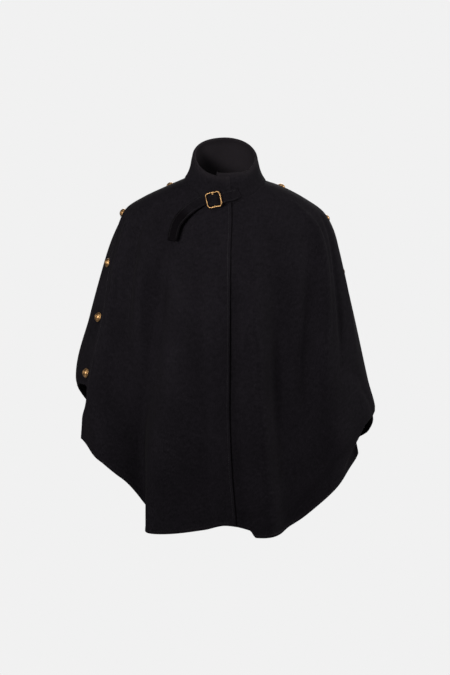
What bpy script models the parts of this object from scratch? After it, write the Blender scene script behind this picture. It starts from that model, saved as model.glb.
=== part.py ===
"""A hollow wool poncho in its worn shape: two fronts, a back, a funnel collar with a strap
and buckle, and a row of domed buttons down each overarm seam.

Metres, +Z up. The front looks along -Y and the wearer's left arm is at +X. The origin is
the middle of the neck, level with the two points where the collar meets the shoulders.

The cloth follows one surface, the drape: an azimuth goes round the body from the centre
front (0, positive towards the wearer's left), and a fall runs from the neck seam (0) down
to the hem (1). Sections give its size, and folds are pushed out of it or into it.
"""

import math
from collections import namedtuple

import bpy
import numpy as np
from mathutils import Matrix, Vector

MM = 0.001

# ---- driving sizes, in millimetres --------------------------------------------------

CLOTH = 2.4  # wall of the felted wool
LAYER = 3.5  # from one cloth layer to the next, where two lap
SEAM_LAP = 24  # the back runs this far under each front along the overarm seam
FRONT_UNDERLAP = 34  # the wearer's left front runs this far under the right one
LAP_RISE = 45  # a layer climbs onto the one below over this width
STRIP = 26  # the back stays low this far behind a front's edge, where its buttons sit
SEAM_END_RIGHT = 0.85  # fall at which the overarm seam ends and the fronts hang free
SEAM_END_LEFT = 0.905

BUTTON_FIRST = 37  # first button, measured along the seam from the neck
BUTTON_PITCH = 115
BUTTONS_A_SIDE = 5
SEAM_READINGS = 400  # places where the seam is measured for them
BUTTON_RADIUS = 10
BUTTON_DOME = 6.5
BUTTON_RIM = 1.6
BUTTON_SHANK_RADIUS = 3.2
BUTTON_SHANK = 1.1
BUTTON_INSET = 13.4  # from the front's edge to the button's middle
GAP = 0.3  # between pieces that touch

# Half widths, depths and drops of the drape, the cloth's outer face, at ten levels. "right"
# is the wearer's right. An out is measured from the neck's middle and a drop downwards from
# it, and square is how far the ring's corners stand out of an ellipse.
Section = namedtuple(
    "Section",
    "fall right_out right_drop left_out left_drop front_out front_drop back_out back_drop square",
)
SECTIONS = (
    Section(0.00, 80, 0, 81, 5, 78, 52, 62, -5, 0.015),
    Section(0.07, 117, 16, 115, 17, 93, 74, 80, 13, 0.010),
    Section(0.16, 166, 39, 163, 42, 110, 112, 98, 48, 0.010),
    Section(0.25, 204, 64, 202, 71, 127, 160, 112, 96, 0.030),
    Section(0.35, 227, 108, 223, 110, 141, 222, 122, 160, 0.045),
    Section(0.50, 250, 182, 242, 186, 154, 318, 134, 264, 0.055),
    Section(0.68, 277, 278, 266, 290, 162, 440, 146, 400, 0.055),
    Section(0.86, 306, 400, 294, 418, 171, 576, 158, 560, 0.050),
    Section(0.92, 305, 452, 310, 484, 174, 626, 162, 620, 0.045),
    Section(1.00, 300, 524, 310, 552, 177, 690, 166, 700, 0.045),
)

# How low the hem hangs round the body.
HemPoint = namedtuple("HemPoint", "azimuth drop")
HEM = (
    HemPoint(-180, 700),  # centre back
    HemPoint(-160, 692),
    HemPoint(-140, 640),
    HemPoint(-106, 545),  # back's right corner
    HemPoint(-75, 529),  # right front's corner
    HemPoint(-52, 565),
    HemPoint(-44, 600),
    HemPoint(-38, 655),  # in the deep trough
    HemPoint(-33, 680),
    HemPoint(-28, 699),
    HemPoint(-20, 702),  # foot of the right ridge
    HemPoint(-8, 695),
    HemPoint(0, 686),  # notch at the closing
    HemPoint(8.8, 697),
    HemPoint(10.6, 711),  # foot of the left ridge
    HemPoint(19, 704),
    HemPoint(24, 692),
    HemPoint(29, 677),
    HemPoint(44, 607),
    HemPoint(52, 582),
    HemPoint(58, 566),
    HemPoint(64, 548),  # left front's corner
    HemPoint(108, 548),  # back's left corner
    HemPoint(140, 655),
    HemPoint(160, 696),
    HemPoint(180, 700),
)
HEM_FROM = 0.45  # the hem's line shapes the cloth from this fall down

# Azimuths, in degrees, of each front's outer edge: it laps over the back down to the end of
# the seam, then hangs free as far as the hem's corner. The back's own edge leaves the seam
# there and swings behind. An "in" is how far a free edge is drawn inside the drape.
SideEdge = namedtuple(
    "SideEdge",
    "fall right_front right_back right_back_in left_front left_back left_front_in left_back_in",
)
SIDE_EDGES = (
    SideEdge(0.00, -91, -91, 0, 90, 90, 0, 0),
    SideEdge(0.16, -91, -91, 0, 89, 89, 0, 0),
    SideEdge(0.30, -79, -79, 0, 91, 91, 0, 0),
    SideEdge(0.45, -70, -70, 0, 97, 97, 0, 0),
    SideEdge(0.60, -62, -62, 0, 102, 102, 0, 0),
    SideEdge(0.75, -60, -60, 0, 102, 102, 0, 0),
    SideEdge(0.82, -59, -59, 0, 100, 100, 0, 0),
    SideEdge(0.86, -59, -66, 0, 99, 99, 0, 0),
    SideEdge(0.88, -60, -82, 3, 98, 98, 0, 0),
    SideEdge(0.90, -62, -92, 12, 97, 98, 0, 0),
    SideEdge(0.92, -65, -97, 24, 91, 99, 5, 0),
    SideEdge(0.94, -68, -100, 29, 76, 100, 26, 0),
    SideEdge(0.97, -71, -103, 34, 65, 103, 26, 8),
    SideEdge(1.00, -75, -106, 37, 61, 108, 14, 52),
)
IN_TURN = 45  # degrees over which a free edge is drawn in
CURL_TURN = 22  # and over which the corner of the left front curls in
COLUMN_STEP = 0.9  # least degrees between the columns of a panel that is cut away

# Azimuth of the right front's centre edge, which laps over the left front.
FrontEdge = namedtuple("FrontEdge", "fall azimuth")
FRONT_EDGES = (
    FrontEdge(0.00, 8.5),
    FrontEdge(0.25, 2.9),
    FrontEdge(0.50, 2.1),
    FrontEdge(0.70, 1.9),
    FrontEdge(0.85, 2.5),
    FrontEdge(1.00, 4.1),
)

# Folds: the azimuth runs from top to foot, and the fold grows from the onset to the hem.
# Height is positive for a ridge and negative for a trough, and lean carries its crest
# sideways at the hem, towards +azimuth, by that share of its height.
Fold = namedtuple("Fold", "top foot onset height width lean")
FOLDS = (
    Fold(-19, -25, 0.27, 24, 8.5, -0.8),  # ridge from the right bust
    Fold(-35, -35.5, 0.34, -37, 7.0, -0.5),  # deep trough beside it
    Fold(-63, -38, 0.28, -15, 8.0, 0.0),  # trough from the right armpit, which runs into it
    Fold(-68, -53, 0.36, 9, 7.5, 0.0),  # over the right arm
    Fold(3, 9, 0.32, -9, 3.6, 0.0),  # beside the closing
    Fold(10, 16, 0.26, 21, 6.0, 0.4),  # ridge from the left bust
    Fold(28, 26, 0.34, -29, 9.5, 0.0),  # trough under the left bust
    Fold(66, 41, 0.20, 14, 8.0, 0.0),  # ridge down the left upper arm
    Fold(126, 132, 0.34, -30, 8.0, 0.0),  # trough behind the left arm
    Fold(150, 152, 0.38, 20, 9.0, 0.3),  # left back ridge
    Fold(178, 174, 0.46, -16, 8.0, 0.0),  # shallow trough near the centre back
    Fold(203, 206, 0.36, 22, 9.0, -0.3),  # right back ridge
    Fold(236, 226, 0.32, -32, 8.0, 0.0),  # trough behind the right arm
)

# Funnel collar. A share runs from the neck seam (0) to the rim (1).
COLLAR_WALL = 4.2  # two layers of cloth and an interlining
NECK_GAP = 0.7  # between the collar and the panels' neck edges
RIM_HALF = 66
RIM_FRONT = 84
RIM_BACK = 57
RIM_FRONT_HEIGHT = 2
RIM_BACK_HEIGHT = 84
RIM_RIGHT_RISE = 6  # the rim stands this much higher over the wearer's right shoulder
RIM_SQUARE = 0.02
COLLAR_FLARE = 2.4  # how quickly the neck's flare dies away upwards
COLLAR_LAP = 2.6  # each end stands this far out of, or in from, the ring
UNDER_END = -16  # azimuth of the end that lies underneath
OVER_END = 9  # azimuth of the end that shows
LAP_TURN = 40  # degrees over which an end moves in or out
CLOSING_FROM = -45  # the collar's foot climbs onto the double layer from this azimuth
CLOSING_CLIMB = 15  # over so many degrees
CLOSING_DROP = 8  # and comes down again over so many, past the end that shows

# Neck strap. On the collar its middle runs through these places, lifted off the ring, and
# then its tongue hangs free, lifted off the right front.
STRAP_WIDTH = 22
STRAP_WALL = 2.6
TONGUE_END = 0.8  # share of the width left at the tongue's rounded end
StrapPoint = namedtuple("StrapPoint", "azimuth share lift")
STRAP_ROUTE = (
    StrapPoint(22.0, 0.325, 2.4),
    StrapPoint(16.5, 0.295, 3.2),
    StrapPoint(11.5, 0.265, 6.4),
    StrapPoint(6.0, 0.25, 7.2),
    StrapPoint(1.0, 0.225, 7.4),
    StrapPoint(-3.5, 0.185, 8.4),
    StrapPoint(-8.5, 0.13, 15.4),
    StrapPoint(-14.0, 0.065, 21.6),
    StrapPoint(-19.0, -0.015, 13.7),
    StrapPoint(-24.5, -0.095, 11.2),
)
TonguePoint = namedtuple("TonguePoint", "azimuth fall lift")
TONGUE_ROUTE = (
    TonguePoint(-30.0, 0.078, 12),
    TonguePoint(-32.0, 0.132, 14),
    TonguePoint(-31.5, 0.185, 15),
    TonguePoint(-29.5, 0.238, 13),
)

BUCKLE_SIDE = 29  # middle to middle of the wire
BUCKLE_CORNER = 6
BUCKLE_WIRE = 1.7  # radius
BUCKLE_BAR = 1.3
BUCKLE_AZIMUTH = -14.0
BUCKLE_SHARE = 0.07
BUCKLE_LIFT = 15.4
BUCKLE_TURN = 11  # degrees, its side towards the wearer's left stands higher
TAB_WIDTH = 11
TAB_WALL = 1.3
TAB_LENGTH = 14
TAB_DROP = 6.9  # its tail lies this far under the bar
TAB_TAIL = 0.6  # share of the tail that lies flat on the collar
TAB_BEND = 5  # it starts to climb this far from the bar
TAB_CLIMB = 2.3  # and has climbed this much there

# How finely the pieces are divided.
FALLS = np.concatenate([np.linspace(0, 0.86, 21), np.linspace(0.86, 1, 10)[1:]])
LAP_COLUMNS = 3
FRONT_COLUMNS = 22
BACK_COLUMNS = 38
COLLAR_ROWS = 7
COLLAR_COLUMNS = 34
ROUND_STEPS = 12
STRAP_ROWS = 40
DOME_ANGLES = (0, 25, 50, 72)  # up the button's dome
WIRE_STEPS = 8


# ---- curves -------------------------------------------------------------------------


def column(table, name):
    return np.array([getattr(row, name) for row in table], dtype=float)


def smooth(x):
    """0 up to x = 0, 1 from x = 1, and an even S between."""
    x = np.clip(x, 0.0, 1.0)
    return x * x * (3.0 - 2.0 * x)


def curve_through(knots, values, at):
    """A smooth curve through the values at the knots, which never swings past them.

    Each span is a cubic. The slope at a knot is the harmonic mean of the slopes on its two
    sides, or level where they differ in sign.
    """
    step = np.diff(knots)
    rise = np.diff(values) / step
    product = rise[1:] * rise[:-1]
    same = product > 0
    inner = np.where(same, 2 * product / np.where(same, rise[1:] + rise[:-1], 1.0), 0.0)
    slope = np.concatenate([rise[:1], inner, rise[-1:]])
    span = np.clip(np.searchsorted(knots, at, side="right") - 1, 0, len(step) - 1)
    u = (at - knots[span]) / step[span]
    start = values[span] * (1 + 2 * u) * (1 - u) ** 2 + slope[span] * step[span] * u * (1 - u) ** 2
    end = values[span + 1] * u**2 * (3 - 2 * u) + slope[span + 1] * step[span] * u**2 * (u - 1)
    return start + end


def wrapped(azimuth):
    """The same direction, from -180 to 180."""
    return (azimuth + 180.0) % 360.0 - 180.0


def unit(vectors):
    return vectors / np.linalg.norm(vectors, axis=-1, keepdims=True)


# ---- the drape ----------------------------------------------------------------------


def drape(azimuth, fall):
    """Points of the drape, in millimetres.

    Across is the side's half width times the sine of the azimuth, and forward the front's or
    back's depth times its cosine, both pushed out at the ring's corners. The drop goes from
    the side's to the front's or back's with the cosine squared, and lower down follows the
    hem's line. Each fold then moves the point out or in, and sideways by its lean.
    """
    azimuth, fall = np.broadcast_arrays(np.asarray(azimuth, float), np.asarray(fall, float))
    sine = np.sin(np.radians(azimuth))
    cosine = np.cos(np.radians(azimuth))
    falls = column(SECTIONS, "fall")
    size = {n: curve_through(falls, column(SECTIONS, n), fall) for n in Section._fields[1:]}
    hem = SECTIONS[-1]
    left = sine > 0
    front = cosine > 0
    half = np.where(left, size["left_out"], size["right_out"])
    depth = np.where(front, size["front_out"], size["back_out"])
    corner = 1 + size["square"] * (2 * sine * cosine) ** 2
    side_drop = np.where(left, size["left_drop"], size["right_drop"])
    end_drop = np.where(front, size["front_drop"], size["back_drop"])
    drop = side_drop * sine**2 + end_drop * cosine**2
    even_hem = (
        np.where(left, hem.left_drop, hem.right_drop) * sine**2
        + np.where(front, hem.front_drop, hem.back_drop) * cosine**2
    )
    hem_line = curve_through(column(HEM, "azimuth"), column(HEM, "drop"), wrapped(azimuth))
    drop = drop + (hem_line - even_hem) * smooth((fall - HEM_FROM) / (1 - HEM_FROM))
    out = np.zeros_like(drop)
    aside = np.zeros_like(drop)
    for fold in FOLDS:
        grown = np.clip((fall - fold.onset) / (1 - fold.onset), 0, 1)
        middle = fold.top + (fold.foot - fold.top) * grown
        away = wrapped(azimuth - middle) / fold.width
        height = fold.height * np.sin(0.5 * np.pi * grown) * np.exp(-(away**2))
        out += height
        aside += height * fold.lean * grown**2
    outward = unit(np.stack([sine / half, -cosine / depth], axis=-1))
    across = half * sine * corner + out * outward[..., 0] - aside * outward[..., 1]
    forward = -depth * cosine * corner + out * outward[..., 1] + aside * outward[..., 0]
    return np.stack([across, forward, -drop], axis=-1)


def drape_normal(azimuth, fall):
    """Unit vectors out of the drape: down its fall crossed with round its azimuth."""
    round_it = drape(azimuth + 0.2, fall) - drape(azimuth - 0.2, fall)
    down_it = drape(azimuth, fall + 0.003) - drape(azimuth, fall - 0.003)
    return unit(np.cross(down_it, round_it))


def lifted(azimuth, fall, lift):
    """Points that stand off the drape by lift."""
    azimuth, fall, lift = np.broadcast_arrays(azimuth, fall, lift)
    return drape(azimuth, fall) + drape_normal(azimuth, fall) * lift[..., None]


def degrees_for(length, azimuth, fall):
    """How many degrees of azimuth a length round the body takes at a place."""
    step = drape(azimuth + 0.5, fall) - drape(azimuth - 0.5, fall)
    return length / np.linalg.norm(step, axis=-1)


def edge(name, fall):
    return curve_through(column(SIDE_EDGES, "fall"), column(SIDE_EDGES, name), fall)


def front_edge(fall):
    return curve_through(column(FRONT_EDGES, "fall"), column(FRONT_EDGES, "azimuth"), fall)


def under_edge(fall):
    """Azimuth of the left front's centre edge, under the right front."""
    return front_edge(fall) - degrees_for(FRONT_UNDERLAP, 0.0, fall)


# ---- meshes -------------------------------------------------------------------------


def wall_mesh(inner, outer):
    """A closed wall between two grids of points, as vertices and triangles.

    Down the rows crossed with along the columns points out of it.
    """
    rows, columns = inner.shape[:2]
    index = np.arange(rows * columns).reshape(rows, columns)
    here, beside = index[:-1, :-1].ravel(), index[:-1, 1:].ravel()
    below, across = index[1:, :-1].ravel(), index[1:, 1:].ravel()
    skin = np.concatenate(
        [np.stack([here, below, across], 1), np.stack([here, across, beside], 1)]
    )
    loop = np.concatenate(
        [index[:-1, 0], index[-1, :-1], index[:0:-1, -1], index[0, :0:-1]]
    )
    ahead = np.roll(loop, -1)
    under = rows * columns
    sides = np.concatenate(
        [
            np.stack([ahead, loop, loop + under], 1),
            np.stack([ahead, loop + under, ahead + under], 1),
        ]
    )
    faces = np.concatenate([skin, skin[:, ::-1] + under, sides])
    points = np.concatenate([outer.reshape(-1, 3), inner.reshape(-1, 3)])
    return points, faces


def turned_mesh(profile, steps):
    """A solid turned round Z from (radius, height) points that start and end on the axis."""
    turn = 2 * np.pi * np.arange(steps) / steps
    rings = np.array(profile[1:-1], float)
    circle = np.stack([np.cos(turn), np.sin(turn)], axis=-1)
    around = rings[:, None, :1] * circle[None]
    heights = np.broadcast_to(rings[:, None, 1:], around.shape[:2] + (1,))
    points = np.concatenate([around, heights], axis=-1).reshape(-1, 3)
    points = np.vstack([points, [0, 0, profile[0][1]], [0, 0, profile[-1][1]]])
    index = np.arange(len(rings) * steps).reshape(len(rings), steps)
    ahead = np.roll(index, -1, axis=1)
    lower, lower_next = index[:-1].ravel(), ahead[:-1].ravel()
    upper, upper_next = index[1:].ravel(), ahead[1:].ravel()
    foot = np.full(steps, len(points) - 2)
    head = np.full(steps, len(points) - 1)
    faces = np.concatenate(
        [
            np.stack([lower, lower_next, upper_next], 1),
            np.stack([lower, upper_next, upper], 1),
            np.stack([foot, ahead[0], index[0]], 1),
            np.stack([head, index[-1], ahead[-1]], 1),
        ]
    )
    return points, faces


def ring_tube(path, normals, radius, steps):
    """A tube of this radius round a closed path."""
    tangent = unit(np.roll(path, -1, axis=0) - np.roll(path, 1, axis=0))
    sideways = np.cross(tangent, normals)
    turn = 2 * np.pi * np.arange(steps) / steps
    points = (
        path[:, None]
        + radius * np.cos(turn)[None, :, None] * sideways[:, None]
        + radius * np.sin(turn)[None, :, None] * normals[:, None]
    )
    index = np.arange(len(path) * steps).reshape(len(path), steps)
    ahead, beside = np.roll(index, -1, axis=0), np.roll(index, -1, axis=1)
    both = np.roll(ahead, -1, axis=1)
    faces = np.concatenate(
        [
            np.stack([index.ravel(), ahead.ravel(), both.ravel()], 1),
            np.stack([index.ravel(), both.ravel(), beside.ravel()], 1),
        ]
    )
    return points.reshape(-1, 3), faces[:, ::-1]


def band_mesh(path, normals, width, wall):
    """A flat band along a path, its outer side towards the normals."""
    tangent = unit(np.gradient(path, axis=0))
    across = unit(np.cross(normals, tangent))
    outward = np.cross(tangent, across)
    edges = np.array([-0.5, 0.5])[None, :, None] * np.reshape(width, (-1, 1, 1))
    middle = path[:, None] + edges * across[:, None]
    half = 0.5 * wall * outward[:, None]
    return wall_mesh(middle - half, middle + half)


def plain_material(name, colour, roughness, metallic):
    material = bpy.data.materials.new(name)
    material.use_nodes = True
    shader = material.node_tree.nodes["Principled BSDF"]
    shader.inputs["Base Color"].default_value = (*colour, 1.0)
    shader.inputs["Roughness"].default_value = roughness
    shader.inputs["Metallic"].default_value = metallic
    return material


def new_mesh(name, points, faces, material):
    mesh = bpy.data.meshes.new(name)
    mesh.from_pydata((points * MM).tolist(), [], faces.tolist())
    mesh.materials.append(material)
    return mesh


def add_object(name, mesh, place=None):
    piece = bpy.data.objects.new(name, mesh)
    if place is not None:
        piece.matrix_world = place
    bpy.context.scene.collection.objects.link(piece)
    return piece


# ---- cloth panels -------------------------------------------------------------------


def columns_between(*stops):
    """Azimuths along each row: (start, end, count) spans joined end to end."""
    spans = []
    for start, end, count in stops:
        share = np.linspace(0, 1, count + 1)[None, : count]
        spans.append(start[:, None] + (end - start)[:, None] * share)
    return np.concatenate(spans + [stops[-1][1][:, None]], axis=1)


def add_panel(name, azimuth, lift, material):
    fall = FALLS[:, None]
    inner = lifted(azimuth, fall, lift - CLOTH)
    outer = lifted(azimuth, fall, lift)
    points, faces = wall_mesh(inner, outer)
    mesh = new_mesh(name, points, faces, material)
    mesh.shade_smooth()
    mesh.set_sharp_from_angle(angle=math.radians(40))
    return add_object(name, mesh)


def add_front_right(material):
    side = edge("right_front", FALLS)
    lapped = side + degrees_for(SEAM_LAP, side, FALLS)
    under, over = under_edge(FALLS), front_edge(FALLS)
    azimuth = columns_between(
        (side, lapped, LAP_COLUMNS), (lapped, under, FRONT_COLUMNS), (under, over, LAP_COLUMNS)
    )
    rise = degrees_for(LAP_RISE, 0.0, FALLS)[:, None]
    lift = LAYER * smooth((azimuth - under[:, None] + rise) / rise)
    add_panel("front_right_panel", azimuth, lift, material)


def add_front_left(material):
    """Below the seam its columns run straight on and are held inside the free edge."""
    under, over = under_edge(FALLS), front_edge(FALLS)
    side = edge("left_front", FALLS)
    sewn = edge("left_front", np.minimum(FALLS, SEAM_END_LEFT))
    lapped = sewn - degrees_for(SEAM_LAP, sewn, FALLS)
    azimuth = columns_between(
        (under, over, LAP_COLUMNS), (over, lapped, FRONT_COLUMNS), (lapped, sewn, LAP_COLUMNS)
    )
    count = np.arange(azimuth.shape[1])
    azimuth = np.minimum(azimuth, side[:, None] - COLUMN_STEP * count[::-1])
    drawn_in = edge("left_front_in", FALLS)[:, None]
    lift = -drawn_in * smooth(1 - (side[:, None] - azimuth) / CURL_TURN)
    add_panel("front_left_panel", azimuth, lift, material)


def back_lift(azimuth, fall):
    """The back lies a layer low under the fronts and their buttons, and its free edges hang in."""
    low = np.zeros_like(azimuth)
    for side, turn in (("left", 0), ("right", 360)):
        front = turn + edge(side + "_front", fall)
        own = turn + edge(side + "_back", fall)
        behind = 1 if side == "left" else -1
        millimetre = degrees_for(1.0, front, fall)
        from_front = behind * (azimuth - front) / millimetre
        low += LAYER * (1 - smooth((from_front - STRIP) / LAP_RISE))
        drawn_in = edge(side + "_back_in", fall)
        low += drawn_in * smooth(1 - behind * (azimuth - own) / IN_TURN)
    return -low


def add_back(material):
    """The back's columns run on as under the fronts, and below the seams are held behind its
    own edges."""
    left, right = edge("left_front", FALLS), 360 + edge("right_front", FALLS)
    left_lap = degrees_for(SEAM_LAP, left, FALLS)
    right_lap = degrees_for(SEAM_LAP, right, FALLS)
    azimuth = columns_between(
        (left - left_lap, left, LAP_COLUMNS),
        (left, right, BACK_COLUMNS),
        (right, right + right_lap, LAP_COLUMNS),
    )
    count = np.arange(azimuth.shape[1])
    free_left = (FALLS > SEAM_END_LEFT)[:, None]
    free_right = (FALLS > SEAM_END_RIGHT)[:, None]
    first = edge("left_back", FALLS)[:, None] + COLUMN_STEP * count
    last = 360 + edge("right_back", FALLS)[:, None] - COLUMN_STEP * count[::-1]
    azimuth = np.where(free_left, np.maximum(azimuth, first), azimuth)
    azimuth = np.where(free_right, np.minimum(azimuth, last), azimuth)
    add_panel("back_panel", azimuth, back_lift(azimuth, FALLS[:, None]), material)


# ---- collar -------------------------------------------------------------------------


def collar_base(azimuth):
    """Where the collar's middle meets the panels' outer neck edge."""
    azimuth = wrapped(azimuth)
    climbed = smooth((azimuth - CLOSING_FROM) / CLOSING_CLIMB)
    closing = climbed * (1 - smooth((azimuth - OVER_END - 1) / CLOSING_DROP))
    base = lifted(azimuth, 0.0, LAYER * closing)
    base[..., 2] += NECK_GAP
    return base


def collar(azimuth, share):
    """Middle of the collar's wall, before its ends move in or out.

    The plan goes from the neck seam's to the rim's with a flare that dies away upwards, and
    the height rises evenly from one to the other. The rim is a slightly squared ellipse that
    tips forward and rises on the wearer's right with the square of the azimuth's sine.
    """
    azimuth, share = np.broadcast_arrays(np.asarray(azimuth, float), np.asarray(share, float))
    sine = np.sin(np.radians(azimuth))
    cosine = np.cos(np.radians(azimuth))
    depth = np.where(cosine > 0, RIM_FRONT, RIM_BACK)
    middle_height = 0.5 * (RIM_FRONT_HEIGHT + RIM_BACK_HEIGHT)
    tip = 0.5 * (RIM_BACK_HEIGHT - RIM_FRONT_HEIGHT)
    height = middle_height - tip * cosine + RIM_RIGHT_RISE * np.minimum(sine, 0) ** 2
    corner = 1 + RIM_SQUARE * (2 * sine * cosine) ** 2
    rim = np.stack([RIM_HALF * sine * corner, -depth * cosine * corner, height], axis=-1)
    base = collar_base(azimuth)
    flare = (1 - np.clip(share, 0, 1)) ** COLLAR_FLARE
    weight = np.stack([flare, flare, 1 - share], axis=-1)
    return base * weight + rim * (1 - weight)


def collar_normal(azimuth, share):
    round_it = collar(azimuth + 1.0, share) - collar(azimuth - 1.0, share)
    up_it = collar(azimuth, share + 0.02) - collar(azimuth, share - 0.02)
    return unit(np.cross(round_it, up_it))


def off_collar(azimuth, share, lift):
    azimuth, share, lift = np.broadcast_arrays(azimuth, share, lift)
    return collar(azimuth, share) + collar_normal(azimuth, share) * lift[..., None]


def add_collar(material):
    """One strip from the end underneath, round the neck, to the end that shows over it."""
    last = 360 + UNDER_END
    lap = np.linspace(UNDER_END, OVER_END, LAP_COLUMNS + 1)
    round_neck = np.linspace(OVER_END, last, COLLAR_COLUMNS + 1)[1:-1]
    azimuth = np.concatenate([lap, round_neck, 360 + lap])[None]
    share = np.linspace(1, 0, COLLAR_ROWS)[:, None]
    inward = 1 - smooth((azimuth - OVER_END) / LAP_TURN)
    outward = smooth((azimuth - last + LAP_TURN) / LAP_TURN)
    ring = COLLAR_LAP * (outward - inward)
    half = 0.5 * COLLAR_WALL
    points, faces = wall_mesh(
        off_collar(azimuth, share, ring - half), off_collar(azimuth, share, ring + half)
    )
    mesh = new_mesh("collar", points, faces, material)
    mesh.shade_smooth()
    mesh.set_sharp_from_angle(angle=math.radians(40))
    add_object("collar", mesh)


# ---- strap and buckle ---------------------------------------------------------------


def strap_path():
    """The strap's middle line and the way its outer side faces, evenly read."""
    azimuth, share = column(STRAP_ROUTE, "azimuth"), column(STRAP_ROUTE, "share")
    on_collar = off_collar(azimuth, share, column(STRAP_ROUTE, "lift"))
    facing = collar_normal(azimuth, share)
    azimuth, fall = column(TONGUE_ROUTE, "azimuth"), column(TONGUE_ROUTE, "fall")
    hanging = lifted(azimuth, fall, column(TONGUE_ROUTE, "lift"))
    stops = np.concatenate([on_collar, hanging])
    facing = np.concatenate([facing, drape_normal(azimuth, fall)])
    gone = np.linalg.norm(np.diff(stops, axis=0), axis=1)
    knots = np.concatenate([[0], np.cumsum(gone)])
    at = np.linspace(0, knots[-1], STRAP_ROWS)
    path = np.stack([curve_through(knots, stops[:, k], at) for k in range(3)], axis=-1)
    normals = np.stack([curve_through(knots, facing[:, k], at) for k in range(3)], axis=-1)
    return path, unit(normals)


def add_strap(material):
    path, normals = strap_path()
    width = np.full(len(path), float(STRAP_WIDTH))
    width[-1] *= TONGUE_END
    points, faces = band_mesh(path, normals, width, STRAP_WALL)
    add_object("neck_strap", new_mesh("neck_strap", points, faces, material))


def buckle_place():
    """The buckle's own frame: X towards the wearer's left, Y up and Z out of the collar."""
    middle = off_collar(BUCKLE_AZIMUTH, BUCKLE_SHARE, BUCKLE_LIFT)
    out = Vector(collar_normal(BUCKLE_AZIMUTH, BUCKLE_SHARE))
    aside = Vector((0, 0, 1)).cross(out).normalized()
    frame = Matrix((aside, out.cross(aside), out)).transposed()
    turn = Matrix.Rotation(math.radians(BUCKLE_TURN), 3, "Z")
    return Matrix.Translation(Vector(middle) * MM) @ (frame @ turn).to_4x4()


def add_buckle(material):
    """A square wire with round corners, and a bar between the middles of two sides."""
    turn = np.radians(np.arange(0, 360, 15) + 7.5)
    corner = np.sign(np.stack([np.cos(turn), np.sin(turn)], axis=-1))
    straight = 0.5 * BUCKLE_SIDE - BUCKLE_CORNER
    round_it = np.stack([np.cos(turn), np.sin(turn)], axis=-1)
    path = np.zeros((len(turn), 3))
    path[:, :2] = corner * straight + BUCKLE_CORNER * round_it
    up = np.broadcast_to([0.0, 0.0, 1.0], path.shape)
    points, faces = ring_tube(path, up, BUCKLE_WIRE, WIRE_STEPS)
    buckle = add_object("buckle", new_mesh("buckle", points, faces, material), buckle_place())
    reach = 0.5 * BUCKLE_SIDE
    points, faces = turned_mesh(
        ((0, -reach), (BUCKLE_BAR, -reach), (BUCKLE_BAR, reach), (0, reach)), WIRE_STEPS
    )
    bar_mesh = new_mesh("buckle_bar", points[:, [0, 2, 1]] * (1, 1, -1), faces, material)
    bar = add_object("buckle_bar", bar_mesh, buckle_place())
    bar.hide_render = True
    bar.display_type = "WIRE"
    joined = buckle.modifiers.new("bar", "BOOLEAN")
    joined.operation = "UNION"
    joined.object = bar


def add_buckle_tab(material):
    """A strip sewn to the collar, looped once round the buckle's bar and back."""
    bend = BUCKLE_BAR + GAP + 0.5 * TAB_WALL
    lower = -bend - TAB_DROP
    upper = lower + TAB_WALL + GAP
    turn = np.radians(np.linspace(-90, 165, 9))
    loop = np.stack([bend * np.cos(turn), 0 * turn, bend * np.sin(turn)], axis=-1)
    flat = -TAB_TAIL * TAB_LENGTH
    climbed = [-TAB_BEND, 0, lower + TAB_CLIMB]
    tail = np.array([[-TAB_LENGTH, 0, lower], [flat, 0, lower], climbed])
    climbed = [-TAB_BEND + GAP, 0, upper + TAB_CLIMB]
    back = np.array([climbed, [flat, 0, upper], [-TAB_LENGTH, 0, upper]])
    path = np.concatenate([tail, loop, back])
    tangent = unit(np.gradient(path, axis=0))
    normals = np.stack([tangent[:, 2], 0 * tangent[:, 1], -tangent[:, 0]], axis=-1)
    points, faces = band_mesh(path, normals, TAB_WIDTH, TAB_WALL)
    add_object("buckle_tab", new_mesh("buckle_tab", points, faces, material), buckle_place())


# ---- buttons ------------------------------------------------------------------------


def button_profile():
    """(radius, height) from the foot of the shank up to the top of the dome."""
    rise = np.radians(DOME_ANGLES)
    rim = BUTTON_SHANK + BUTTON_RIM
    dome = [
        (BUTTON_RADIUS * math.cos(angle), rim + BUTTON_DOME * math.sin(angle)) for angle in rise
    ]
    foot = [(0, 0), (BUTTON_SHANK_RADIUS, 0), (BUTTON_SHANK_RADIUS, BUTTON_SHANK)]
    return foot + [(BUTTON_RADIUS, BUTTON_SHANK)] + dome + [(0, rim + BUTTON_DOME)]


def add_buttons(material):
    """Sewn on the back's outer side, just behind each front's edge, at an even pitch."""
    points, faces = turned_mesh(button_profile(), ROUND_STEPS)
    mesh = new_mesh("button", points, faces, material)
    for side, turn, behind in (("right", 360, -1), ("left", 0, 1)):
        fall = np.linspace(0, 1, SEAM_READINGS)
        seam = turn + edge(side + "_front", fall)
        line = drape(seam, fall)
        gone = np.concatenate([[0], np.cumsum(np.linalg.norm(np.diff(line, axis=0), axis=1))])
        for number in range(BUTTONS_A_SIDE):
            at = np.interp(BUTTON_FIRST + BUTTON_PITCH * number, gone, fall)
            azimuth = turn + edge(side + "_front", at)
            azimuth = azimuth + behind * degrees_for(BUTTON_INSET, azimuth, at)
            lift = back_lift(np.asarray(azimuth), np.asarray(at)) + GAP
            place = Vector(lifted(azimuth, at, lift)) * MM
            out = Vector(drape_normal(azimuth, at)).to_track_quat("Z", "Y")
            matrix = Matrix.Translation(place) @ out.to_matrix().to_4x4()
            add_object(f"button_{side}_{number + 1}", mesh, matrix)


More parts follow.
